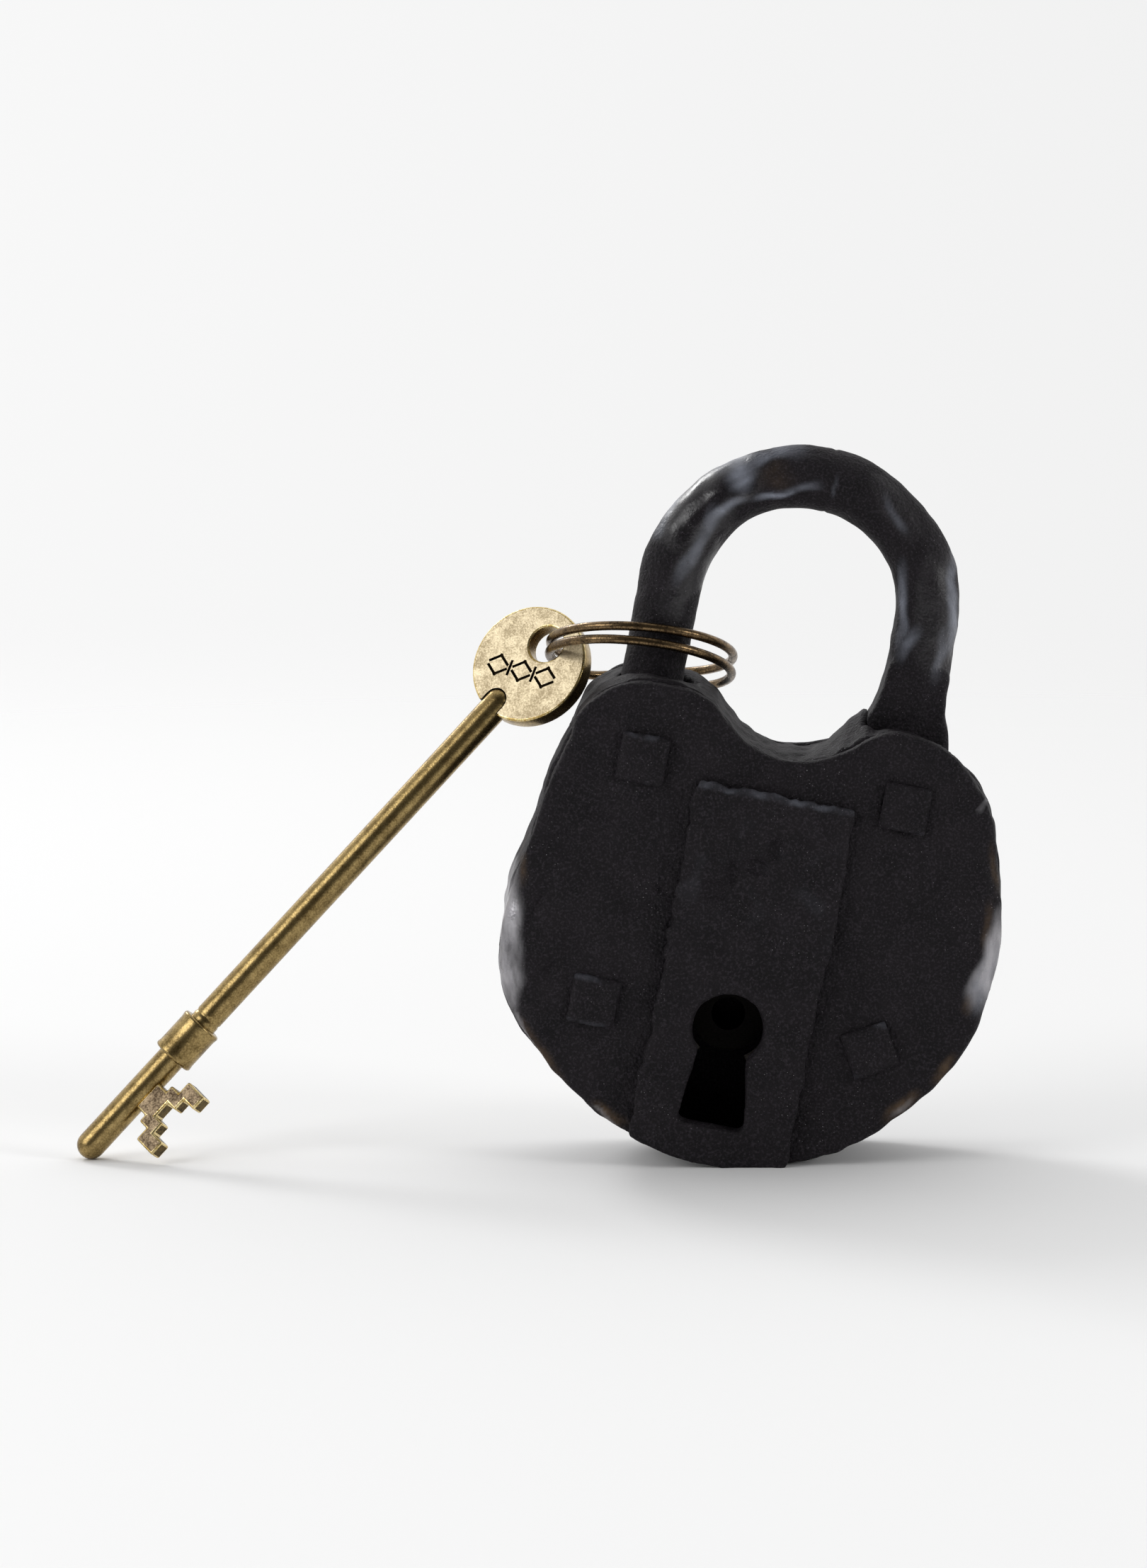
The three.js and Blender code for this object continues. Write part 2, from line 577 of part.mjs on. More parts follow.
// The stepped bit, even about its middle
function keyBit() {
  const side = [
    [BIT_ROOT_W, SHANK_R + SEAT_GAP], [BIT_ROOT_W, BIT_ROOT_DEPTH], [BIT_STEP_W, BIT_ROOT_DEPTH],
    [BIT_STEP_W, BIT_STEP_DEPTH], [BIT_WIDTH, BIT_STEP_DEPTH], [BIT_WIDTH, BIT_DEPTH],
    [BIT_NOTCH_W, BIT_DEPTH], [BIT_NOTCH_W, BIT_NOTCH_FLOOR], [BIT_SLIT_W, BIT_NOTCH_FLOOR],
    [BIT_SLIT_W, BIT_SLIT_FLOOR],
  ];
  const upper = side.map(([width, depth]) => [depth, BIT_CENTRE + width / 2]);
  const lower = side.map(([width, depth]) => [depth, BIT_CENTRE - width / 2]).reverse();
  const geometry = new THREE.ExtrudeGeometry(polygon([...upper, ...lower].reverse()), {
    depth: BIT_T,
    bevelEnabled: false,
  });
  geometry.translate(0, 0, -BIT_T / 2);
  return geometry;
}

// The bow is a disc with a round hole, and a seat where the end of the shank lies in it
function keyBow() {
  const disc = new THREE.Shape();
  disc.absarc(0, BOW_CENTRE, BOW_R, 0, 2 * Math.PI, false);
  const hole = new THREE.Path();
  hole.absarc(0, BOW_CENTRE + BOW_HOLE_SHIFT, BOW_HOLE_R, 0, 2 * Math.PI, false);
  disc.holes.push(hole);
  const blank = new THREE.ExtrudeGeometry(disc, { depth: BOW_T, bevelEnabled: false, curveSegments: 18 });
  blank.translate(0, 0, -BOW_T / 2);
  const half = SHANK_R + SEAT_GAP;
  const seat = new THREE.Shape();
  seat.moveTo(-half, BOW_CENTRE - 2 * BOW_R);
  seat.lineTo(half, BOW_CENTRE - 2 * BOW_R);
  seat.absarc(0, SHANK_END - SHANK_R, half, 0, Math.PI, false);
  const seatTool = new THREE.ExtrudeGeometry(seat, {
    depth: 2 * BOW_T,
    bevelEnabled: false,
    curveSegments: 6,
  });
  seatTool.translate(0, 0, -BOW_T);
  return cut(blank, seatTool);
}

// Middle line of the ring's wire, two turns that step across from one coil to the other
class RingLine extends THREE.Curve {
  getPoint(t, target = new THREE.Vector3()) {
    const turn = 2 * Math.PI;
    const along = t * (2 * turn - CROSS_ANGLE - END_ANGLE);
    const angle = CROSS_START + CROSS_ANGLE + along;
    const step = THREE.MathUtils.smoothstep(along, turn - CROSS_ANGLE, turn);
    const spread = (COIL_NARROW + COIL_WIDE + (COIL_WIDE - COIL_NARROW) * Math.cos(angle)) / 4;
    return target.set(RING_R * Math.cos(angle), RING_R * Math.sin(angle), spread * (1 - 2 * step));
  }
}

function splitRing() {
  return new THREE.ExtrudeGeometry(roundSection(WIRE_R, 8), {
    steps: 84,
    extrudePath: new RingLine(),
    bevelEnabled: false,
  });
}

function piece(name, geometry, finish) {
  const mesh = new THREE.Mesh(geometry, new THREE.MeshStandardMaterial(finish));
  mesh.name = name;
  return mesh;
}

const lock = new THREE.Group();
lock.add(piece('front_plate', frontPlate(), BLACK_IRON));
lock.add(piece('back_plate', backPlate(), BLACK_IRON));
lock.add(piece('case_rim', caseRim(), BLACK_IRON));
lock.add(piece('keyhole_strap', keyholeStrap(), BLACK_IRON));
for (const { name, x, z, turn } of RIVETS) {
  lock.add(piece(name, rivet(x, z, RIVET_R, turn), BLACK_IRON));
}
lock.add(piece('shackle_pivot_pin', rivet(PIVOT_X, PIVOT_Z, PIN_R, 0), BLACK_IRON));
lock.add(piece('heel_spacer_front', heelSpacer(FRONT_INNER + SEAT_GAP, -EYE_T / 2 - SEAT_GAP), STEEL));
lock.add(piece('heel_spacer_back', heelSpacer(EYE_T / 2 + SEAT_GAP, BACK_INNER - SEAT_GAP), STEEL));
lock.add(piece('shackle', shackle(), BLACK_IRON));
lock.add(piece('shackle_toe', shackleToe(), BLACK_IRON));
lock.add(piece('locking_bolt', lockingBolt(), BRASS));
lock.add(piece('bolt_stud_upper', boltStud(STUD_UPPER), STEEL));
lock.add(piece('bolt_stud_lower', boltStud(STUD_LOWER), STEEL));
lock.add(piece('bolt_spring', boltSpring(), STEEL));
lock.add(piece('spring_post', springPost(), STEEL));
lock.add(piece('key_bearing', keyBearing(), STEEL));
lock.add(piece('ward_left', ward(WARD_LEFT_AT), STEEL));
lock.add(piece('ward_right', ward(WARD_RIGHT_AT), STEEL));
lock.rotation.y = LEAN;
lock.position.z = FOOT_H;
lock.updateMatrix();

const ring = new THREE.Group();
ring.add(piece('split_ring', splitRing(), BRASS));
ring.rotation.set(-RING_TILT, RING_ROLL, 0, 'YXZ');
ring.position.set(TOE_X - RING_ASIDE, BACK - RING_FROM_BACK, SHOULDER_LEFT.top + RING_ABOVE);
ring.position.applyMatrix4(lock.matrix);
ring.updateMatrix();

// The key hangs by its bow at the ring's left end and leans on its tip
const key = new THREE.Group();
key.add(piece('key_shank', keyShank(), BRASS));
key.add(piece('key_collar', keyCollar(), BRASS));
key.add(piece('key_bit', keyBit(), BRASS));
key.add(piece('key_bow', keyBow(), BRASS));
const holeCentre = new THREE.Vector3(-RING_R, 0, 0).applyMatrix4(ring.matrix);
const reach = BOW_CENTRE + BOW_HOLE_SHIFT - SHANK_R;
const run = Math.sqrt(reach ** 2 - (holeCentre.z - SHANK_R) ** 2 - (holeCentre.y - TIP_Y) ** 2);
const tipCentre = new THREE.Vector3(holeCentre.x - run, TIP_Y, SHANK_R);
const along = holeCentre.clone().sub(tipCentre).normalize();
const facing = new THREE.Vector3(0, -1, 0);
facing.addScaledVector(along, -facing.dot(along)).normalize();
facing.applyAxisAngle(along, -KEY_ROLL);
const bitWay = along.clone().cross(facing);
key.setRotationFromMatrix(new THREE.Matrix4().makeBasis(bitWay, along, facing));
key.position.copy(holeCentre).addScaledVector(along, -(BOW_CENTRE + BOW_HOLE_SHIFT));

const padlock = new THREE.Group();
padlock.add(lock, ring, key);

export default padlock;
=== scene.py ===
"""Looks of a warded padlock with its key on a split ring, laid out as a Blender add-on and run as a script."""

import json
import math

import bmesh
import bpy
import numpy as np
from bpy.props import FloatProperty, FloatVectorProperty, IntProperty, PointerProperty
from mathutils import Matrix, Vector, noise


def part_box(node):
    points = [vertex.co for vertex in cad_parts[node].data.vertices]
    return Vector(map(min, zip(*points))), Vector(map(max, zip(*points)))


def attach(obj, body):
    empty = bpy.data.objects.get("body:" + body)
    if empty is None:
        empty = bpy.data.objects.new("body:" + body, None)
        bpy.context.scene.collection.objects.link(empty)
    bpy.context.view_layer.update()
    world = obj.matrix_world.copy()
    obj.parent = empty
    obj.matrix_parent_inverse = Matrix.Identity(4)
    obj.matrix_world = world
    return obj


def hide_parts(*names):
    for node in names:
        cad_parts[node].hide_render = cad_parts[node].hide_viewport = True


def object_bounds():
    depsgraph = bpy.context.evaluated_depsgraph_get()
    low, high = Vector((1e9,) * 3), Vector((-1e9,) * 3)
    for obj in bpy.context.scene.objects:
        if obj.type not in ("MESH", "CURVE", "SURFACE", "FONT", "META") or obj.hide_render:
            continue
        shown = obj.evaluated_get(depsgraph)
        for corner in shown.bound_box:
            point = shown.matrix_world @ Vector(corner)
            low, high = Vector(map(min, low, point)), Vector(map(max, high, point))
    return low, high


bl_info = {
    "name": "Warded padlock looks",
    "version": (1, 0, 0),
    "blender": (4, 5, 0),
    "location": "3D View > Sidebar > Padlock",
    "description": "Builds the worn black case, the shackle, the brass key on its ring and the stage",
    "category": "Object",
}

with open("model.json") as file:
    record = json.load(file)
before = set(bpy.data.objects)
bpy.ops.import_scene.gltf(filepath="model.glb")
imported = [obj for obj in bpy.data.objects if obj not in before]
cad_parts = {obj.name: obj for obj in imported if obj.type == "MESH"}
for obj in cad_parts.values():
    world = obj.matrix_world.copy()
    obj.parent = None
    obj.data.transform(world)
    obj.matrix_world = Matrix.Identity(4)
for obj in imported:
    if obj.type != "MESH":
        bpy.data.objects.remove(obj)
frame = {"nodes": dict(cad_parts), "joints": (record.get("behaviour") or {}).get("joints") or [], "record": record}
CAD_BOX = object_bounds()
MM = 0.001

JOINTS = {joint["name"]: joint for joint in frame["joints"]}
# The case leans on its foot. Its bolt slides level in the upright lock, so the slide's axis gives the lean.
SLIDE = JOINTS["bolt_throw"]["axis"]
LEAN = math.atan2(SLIDE[2], -SLIDE[0])
CASE_R = 38.0
FOOT_WIDTH = 11.0
# The upright lock is measured in millimetres from the middle of its round case. TURN leans it into the frame, and
# LIFT stands it on its foot.
TURN = np.array(Matrix.Rotation(LEAN, 3, "Y"))
LIFT = (0, 0, math.sqrt(CASE_R ** 2 - (FOOT_WIDTH / 2) ** 2))
ARCH = (-2.6, 48.6)  # middle of the shackle's arch, across and up
ARCH_R = 20  # radius of the middle of its bar
HALF_WAY_ROUND = 31.4  # the way along it from its right end to its top
SEED_STEP = 17.3  # how far apart the noises of two seeds are
NOISE_GAIN = 1.4  # brings the noise to about -1 to 1

# Where each change comes in, from none to all of it, in millimetres out from the middle of the lock's depth
PLATE_SOFT = (9.9, 10.8)
PLATE_BEATEN = (9.6, 10.4)
PLATE_FACET = (9.6, 11.2)
PLATE_DENTED = (10.6, 11.6)
WALL_INSIDE = (9.0, 9.4)
RIVET_ROOT, RIVET_NECK = (12.0, 12.2), (12.3, 12.9)
RIVET_BEATEN = (12.2, 12.5)
RIVET_FRONT = (12.2, 12.6)
STRAP_FRONT = (12.6, 13.3)
BEHIND_EDGE = (-11.5, -7)  # from the front edge back along the side of the case
BAR_FREE = (30, 34)  # up the shackle, out of the case
WALL_HALF = 9.46  # half of the wall's depth, so that it stays between the plates
STRAP_SKIN = 0.36 * MM
RIVET_SKIN = 0.25 * MM


def srgb(code):
    """A linear colour from an sRGB hex value."""
    parts = [int(code[i:i + 2], 16) / 255 for i in (1, 3, 5)]
    return [c / 12.92 if c <= 0.04045 else ((c + 0.055) / 1.055) ** 2.4 for c in parts] + [1.0]


def add(tree, kind, links=None, **settings):
    """Adds a shader node, sets its options, and fills its inputs with values or other nodes' outputs."""
    node = tree.nodes.new(kind)
    for name, value in settings.items():
        setattr(node, name, value)
    for name, value in (links or {}).items():
        socket = node.inputs[name]
        if isinstance(value, bpy.types.NodeSocket):
            tree.links.new(value, socket)
        else:
            socket.default_value = value
    return node


def blank_material(name):
    """The material of that name, emptied, and its node tree."""
    material = bpy.data.materials.get(name) or bpy.data.materials.new(name)
    material.use_nodes = True
    material.node_tree.nodes.clear()
    return material, material.node_tree


# ---- shapes ----

def lumps(points, size, seed):
    """Smooth noise of about -1 to 1 at each point, whose lumps are that many millimetres apart."""
    at = points / size + seed * SEED_STEP
    return np.array([noise.noise(Vector(p)) for p in at]) * NOISE_GAIN


def rise(values, start, end):
    """0 below start and 1 above end, with a smooth rise between them."""
    t = np.clip((values - start) / (end - start), 0, 1)
    return t * t * (3 - 2 * t)


def bell(values, middle, half):
    """1 at the middle, falling to 0 a little beyond half on each side."""
    return np.exp(-((values - middle) / half) ** 2)


def round_the_case(points):
    """Each point's distance from the middle of the round case, and its angle from the right, in degrees."""
    return np.hypot(points[:, 0], points[:, 2]), np.degrees(np.arctan2(points[:, 2], points[:, 0])) % 360


def link(name, data):
    """Puts a new object with that mesh, lamp or camera in the scene."""
    obj = bpy.data.objects.new(name, data)
    bpy.context.scene.collection.objects.link(obj)
    return obj


def mesh_of(name, bm):
    """Makes a mesh of a bmesh, which is freed."""
    mesh = bpy.data.meshes.new(name)
    bm.to_mesh(mesh)
    bm.free()
    return mesh


def place(name, mesh, body, nodes, materials, flats=()):
    """Makes a finished mesh a piece that rides on a body and stands for its CAD nodes.

    Faces with the materials of flats are shaded flat.
    """
    obj = link(name, mesh)
    shares = [polygon.material_index for polygon in mesh.polygons]
    mesh.materials.clear()
    for material in materials:
        mesh.materials.append(material)
    mesh.polygons.foreach_set("material_index", shares)
    for polygon in mesh.polygons:
        polygon.use_smooth = polygon.material_index not in flats
    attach(obj, body)
    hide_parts(*nodes)


def applied(obj):
    """The mesh of an object with its modifiers applied. The object is removed."""
    bpy.context.view_layer.update()
    mesh = bpy.data.meshes.new_from_object(obj.evaluated_get(bpy.context.evaluated_depsgraph_get()))
    bpy.data.objects.remove(obj)
    return mesh


def merged(node):
    """A bmesh with a copy of that CAD node, merged from loose triangles to closed shells."""
    bm = bmesh.new()
    bm.from_mesh(frame["nodes"][node].data)
    bmesh.ops.remove_doubles(bm, verts=bm.verts, dist=0.002 * MM)
    return bm


def skinned(name, bm, voxel, soften, keep=None):
    """Covers a bmesh in one even skin and softens its edges.

    keep gives, from places in the upright lock, where they stay sharp.
    """
    obj = link(name, mesh_of(name, bm))
    remesh = obj.modifiers.new("skin", "REMESH")
    remesh.mode = "VOXEL"
    remesh.voxel_size = voxel
    mesh = applied(obj)
    obj = link(name, mesh)
    group = obj.vertex_groups.new(name="soft")
    soft = np.ones(len(mesh.vertices)) if keep is None else 1 - keep(upright(mesh)[0])
    for level in range(1, 11):
        chosen = np.nonzero(np.round(soft * 10) == level)[0]
        group.add(chosen.tolist(), level / 10, "REPLACE")
    smooth = obj.modifiers.new("soften", "SMOOTH")
    smooth.factor = 0.5
    smooth.iterations = soften
    smooth.vertex_group = "soft"
    mesh = applied(obj)
    mesh.name = name
    return mesh


def upright(mesh):
    """A mesh's places and normals in the upright lock, in millimetres."""
    flat = np.empty(len(mesh.vertices) * 3)
    mesh.vertices.foreach_get("co", flat)
    places = (flat.reshape(-1, 3) / MM - LIFT) @ TURN
    mesh.vertices.foreach_get("normal", flat)
    return places, flat.reshape(-1, 3) @ TURN


def settle(mesh, places):
    """Puts places in the upright lock back into the mesh. Nothing goes under the ground or out of the CAD box."""
    world = (places @ TURN.T + LIFT) * MM
    world = np.clip(world, CAD_BOX[0], CAD_BOX[1])
    mesh.vertices.foreach_set("co", world.ravel())
    mesh.update()


def paint(mesh, name, values):
    """Keeps a value for each vertex, which a material reads by name."""
    layer = mesh.attributes.get(name) or mesh.attributes.new(name, "FLOAT", "POINT")
    layer.data.foreach_set("value", np.clip(values, 0, 1).astype(np.float32))


def hammered(places, normals, height, seed):
    """The uneven lumps of the blacked surface, along its normals: 15, 6 and 2.4 mm apart."""
    lift = lumps(places, 15, seed) * 0.5 + lumps(places, 6, seed + 1) * 0.3 + lumps(places, 2.4, seed + 2) * 0.16
    return normals * (lift * height)[:, None]


def swell(places, sizes):
    """How far the uneven outline moves each place, growing towards the edge.

    It stands out at the lower left, and falls short at the lower right and at the right shoulder.
    """
    radius, angle = round_the_case(places)
    out = sizes.left_swell / MM * bell(angle, 205, 18)
    for middle, half, height in ((170, 9, -0.8), (241, 12, 0.7), (325, 18, -0.5)):
        out += height * bell(angle, middle, half)
    out -= bell(angle, 48, 11) * (2.3 + 1.6 * rise(places[:, 1], -9.5, -9.2))
    out += 0.3 * lumps(places, 9, 5) + 0.14 * lumps(places, 3, 6) - 0.1
    near = rise(radius, 22, CASE_R)
    step = (out * near / np.maximum(radius, 1))[:, None]
    return places * (1, 0, 1) * step


# Rubbed, rusty, milky, shiny and dented places of the case and the shackle, in the upright lock. The milky ones are
# old wax, partly painted highlights and reflections on the glossy shackle and the rubbed right edge.
# kind, across, up, half length, half width, direction of the length in degrees, strength
MARKS = (
    ("gloss", -36.9, -9.6, 11.5, 2.3, 101, 1.0),
    ("gloss", -31.2, -23.6, 7.0, 0.5, -54, 0.45),
    ("rust", -36.6, 1.6, 2.4, 0.8, 101, 0.6),
    ("rust", -28.5, -25.6, 7.0, 0.9, -48, 0.55),
    ("rust", -16.7, -33.2, 3.4, 1.0, -22, 0.9),
    ("gloss", -17.2, -33.6, 2.4, 0.4, -22, 0.5),
    ("rust", 34.2, 15.6, 4.4, 0.6, 108, 0.5),
    ("gloss", 36.8, 13.0, 5.6, 0.6, 100, 0.8),
    ("rust", 35.0, 6.6, 4.6, 0.8, 96, 0.55),
    ("gloss", 36.8, 1.8, 7.8, 1.8, 88, 1.0),
    ("gloss", 35.6, -1.6, 4.4, 1.5, 80, 0.8),
    ("rust", 34.6, -5.6, 1.6, 1.0, 70, 0.7),
    ("rust", 32.8, -16.4, 3.0, 0.9, 58, 0.9),
    ("rust", 27.6, -23.2, 3.8, 1.1, 48, 1.0),
    ("gloss", 27.8, -23.4, 2.2, 0.45, 48, 0.45),
    ("gloss", 31.0, 24.8, 1.2, 0.5, 56, 0.35),
    ("wax_and_highlight", -15.3, 66.8, 3.8, 2.4, 80, 0.6),
    ("wax_and_highlight", -10.9, 72.0, 6.4, 1.5, 30, 0.4),
    ("wax_and_highlight", -17.4, 67.6, 6.0, 1.7, 42, 0.5),
    ("wax_and_highlight", -21.6, 66.6, 9.0, 2.2, 50, 0.25),
    ("wax_and_highlight", -24.6, 61.3, 5.0, 1.3, 61, 0.45),
    ("wax_and_highlight", -17.0, 59.6, 4.6, 1.1, 44, 0.55),
    ("wax_and_highlight", -20.1, 54.8, 6.0, 1.1, 70, 0.4),
    ("wax_and_highlight", -9.4, 64.9, 4.6, 0.9, 36, 0.6),
    ("wax_and_highlight", -6.2, 67.4, 4.0, 1.4, 29, 0.25),
    ("wax_and_highlight", -0.6, 69.5, 3.2, 0.4, 88, 0.2),
    ("wax_and_highlight", 9.2, 67.6, 3.6, 0.9, -56, 0.3),
    ("wax_and_highlight", 20.7, 55.2, 10.0, 1.1, 101, 0.4),
    ("wax_and_highlight", 13.0, 51.3, 7.6, 1.0, 100, 0.42),
    ("wax_and_highlight", 15.2, 46.8, 3.6, 1.1, 75, 0.3),
    ("wax_and_highlight", 20.4, 46.7, 6.0, 1.1, 86, 0.28),
    # A painted highlight on the rubbed right edge, in the milky colour
    ("wax_and_highlight", 36.3, -1.4, 5.4, 1.8, 84, 0.5),
    ("shine", -19.3, 63.4, 8.4, 5.4, 50, 1.0),
    ("shine", -19.2, 53.2, 8.6, 2.8, 72, 0.9),
    ("shine", 9.0, 68.5, 6.0, 2.4, -50, 0.3),
    ("shine", 18.6, 52.0, 10.0, 3.4, 98, 0.7),
    ("rust", -9.9, 68.6, 3.6, 2.2, 35, 0.22),
    ("dent", -33.6, -3.6, 4.4, 0.5, 70, 0.8),
    ("dent", -32.4, 8.6, 2.6, 0.5, 35, 0.6),
    ("dent", -25.6, 13.0, 4.0, 2.2, 10, 0.7),
    ("dent", -19.4, 14.6, 1.6, 0.9, -20, 0.8),
    ("dent", -29.8, -12.4, 2.6, 0.9, 60, 0.7),
    ("dent", -15.6, 3.0, 1.1, 0.9, 0, 0.9),
    ("dent", 14.6, -24.6, 2.6, 0.9, 30, 0.8),
    ("dent", 24.4, -4.4, 4.2, 1.6, 115, 0.4),
    ("dent", 8.6, 24.6, 2.2, 0.9, -10, 0.5),
    ("dent", 27.5, 9.0, 1.8, 0.7, 80, 0.5),
)


# How far from its middle, where 1 is its outline, each kind of mark begins to fade
FADES_FROM = {"gloss": 0.45, "shine": 0.75, "rust": 0.1, "wax_and_highlight": 0.1, "dent": 0.1}


def marked(places, kind):
    """How strongly each point lies in the marks of one kind, whose outlines are a little ragged.

    Behind the front edge they stray more, and the gloss there is broken up and has none of its thin marks.
    """
    behind = rise(places[:, 1], *BEHIND_EDGE)
    across = places[:, 0] + lumps(places, 4, 61) * 0.5
    up = places[:, 2] + lumps(places, 4, 62) * (0.8 + 0.6 * behind) + lumps(places, 13, 63) * 3.4 * behind
    total = np.zeros(len(places))
    for name, x, z, long, wide, direction, strength in MARKS:
        if name != kind:
            continue
        c, s = math.cos(math.radians(direction)), math.sin(math.radians(direction))
        dx, dz = across - x, up - z
        far = (np.abs((dx * c + dz * s) / long) ** 3 + np.abs((dz * c - dx * s) / wide) ** 3) ** (1 / 3)
        if kind == "gloss" and wide < 1:
            strength = strength * (1 - behind)
        total = np.maximum(total, strength * (1 - rise(far, FADES_FROM[kind], 1.2)))
    if kind == "gloss":
        total = total * (1 - behind * (0.15 + 0.4 * rise(lumps(places, 12, 68), -0.4, 0.6)))
    return total


def wear(mesh, places, streaks=1.0):
    """Paints the marks on a black piece, the milky wax and painted highlights among them. streaks breaks up the milky
    ones.
    """
    for kind in ("gloss", "rust", "wax_and_highlight", "shine"):
        paint(mesh, kind, marked(places, kind) * (streaks if kind == "wax_and_highlight" else 1.0))


# ---- materials ----

# The patterns in the black: name, millimetres between its lumps, detail, swirl, the levels of the noise that it runs
# between, its least and most strength, and whether it is drawn out up the edge
PATTERNS = (
    ("clouds", 6, 4.0, 0.0, 0.35, 0.7, 0.0, 1.0, False),
    ("grain", 0.35, 2.0, 0.0, 0.48, 0.74, 0.0, 0.75, False),
    ("drifts", 11, 2.0, 0.0, 0.46, 0.66, 0.08, 1.0, False),
    ("blooms", 1.5, 5.0, 0.0, 0.2, 0.7, 0.2, 1.0, False),
    ("swirls", 5, 3.0, 1.5, 0.35, 0.62, 0.6, 1.0, False),
    ("streaks", 1.6, 3.0, 0.0, 0.3, 0.66, 0.35, 1.0, True),
    ("patches", 2.5, 3.0, 0.0, 0.25, 0.6, 0.55, 1.0, False),
    ("skin", 0.5, 3.0, 0.0, 0.3, 0.7, 0.0, 1.0, False),
    ("unevenness", 1.6, 2.0, 0.0, 0.3, 0.7, 0.0, 1.0, False),
)


def blacked_iron(colours):
    """Blacked cast iron, painted and waxed over: an uneven matt black with fine pale grit.

    It is rubbed to bare metal along its edges where it is handled, with brown rust beside that and milky old wax
    on the shackle. The milky colour also paints highlights and reflections on the shackle, the strap's top, the rivet
    heads and the right edge.
    """
    material, tree = blank_material("Blacked cast iron")
    at = add(tree, "ShaderNodeTexCoord").outputs["Object"]
    drawn = add(tree, "ShaderNodeMapping", {"Vector": at, "Scale": (1, 1, 0.3)}).outputs[0]
    level = {}
    for kind in ("gloss", "rust", "wax_and_highlight", "shine"):
        level[kind] = add(tree, "ShaderNodeAttribute", attribute_name=kind).outputs["Fac"]
    for name, size, detail, swirl, low, high, least, most, drawn_out in PATTERNS:
        made = add(tree, "ShaderNodeTexNoise", {
            "Vector": drawn if drawn_out else at, "Scale": 1 / (size * MM), "Detail": detail, "Distortion": swirl})
        level[name] = add(tree, "ShaderNodeMapRange", {
            "Value": made.outputs["Fac"], "From Min": low, "From Max": high,
            "To Min": least, "To Max": most}).outputs[0]

    # Grit: round grains of about 0.1 mm in some of the cells of a net with a mesh of 0.45 mm
    cells = add(tree, "ShaderNodeTexVoronoi", {"Vector": at, "Scale": 1 / (0.45 * MM)})
    level["round"] = add(tree, "ShaderNodeMapRange", {
        "Value": cells.outputs["Distance"], "From Min": 0.08, "From Max": 0.17,
        "To Min": 1.0, "To Max": 0.0}).outputs[0]
    chance = add(tree, "ShaderNodeSeparateColor", {"Color": cells.outputs["Color"]})
    level["some"] = add(tree, "ShaderNodeMapRange", {
        "Value": chance.outputs[0], "From Min": 0.6, "From Max": 1.0}).outputs[0]

    # The marks painted on the piece, each with a pattern of its own. The grit lies in drifts. The milky marks are
    # swirled old wax and painted highlights.
    for name, first, second, how in (
            ("grains", "round", "some", "MULTIPLY"), ("grit", "grains", "drifts", "MULTIPLY"),
            ("rusty", "blooms", "rust", "MULTIPLY"), ("swirled_wax_and_highlight", "swirls", "wax_and_highlight", "MULTIPLY"),
            ("bare", "streaks", "gloss", "MULTIPLY"), ("handled", "gloss", "shine", "MAXIMUM"),
            ("polished", "handled", "patches", "MULTIPLY")):
        level[name] = add(tree, "ShaderNodeMath", {0: level[first], 1: level[second]}, operation=how).outputs[0]
    colour = colours.iron
    # The milky colour is old wax together with painted highlights and reflections
    for name, over in (("clouds", colours.iron_cloud), ("grain", colours.iron_grain), ("grit", colours.grit),
                       ("rusty", colours.rust), ("swirled_wax_and_highlight", colours.wax_and_highlight_colour), ("bare", colours.rubbed)):
        colour = add(tree, "ShaderNodeMix", {"Factor": level[name], "A": colour, "B": over}, data_type="RGBA")
        colour = colour.outputs["Result"]
    rough = add(tree, "ShaderNodeMapRange", {"Value": level["polished"], "To Min": 0.7, "To Max": 0.22})
    coat = add(tree, "ShaderNodeMapRange", {"Value": level["polished"], "To Min": 0.22, "To Max": 0.6})

    # The skin's own grain and softer unevenness, both rubbed down where it is handled
    both = add(tree, "ShaderNodeMath", {
        0: level["unevenness"], 1: 0.8, 2: level["skin"]}, operation="MULTIPLY_ADD")
    worn = add(tree, "ShaderNodeMapRange", {"Value": level["handled"], "To Min": 1.0, "To Max": 0.1})
    height = add(tree, "ShaderNodeMath", {0: both.outputs[0], 1: worn.outputs[0]}, operation="MULTIPLY")
    bump = add(tree, "ShaderNodeBump", {"Height": height.outputs[0], "Strength": 1.0, "Distance": 0.13 * MM})
    metal = add(tree, "ShaderNodeMath", {0: level["bare"], 1: 0.6}, operation="MULTIPLY")
    shader = add(tree, "ShaderNodeBsdfPrincipled", {
        "Base Color": colour, "Roughness": rough.outputs[0], "Metallic": metal.outputs[0],
        "Specular IOR Level": coat.outputs[0], "Normal": bump.outputs[0]})
    add(tree, "ShaderNodeOutputMaterial", {"Surface": shader.outputs[0]})
    return material


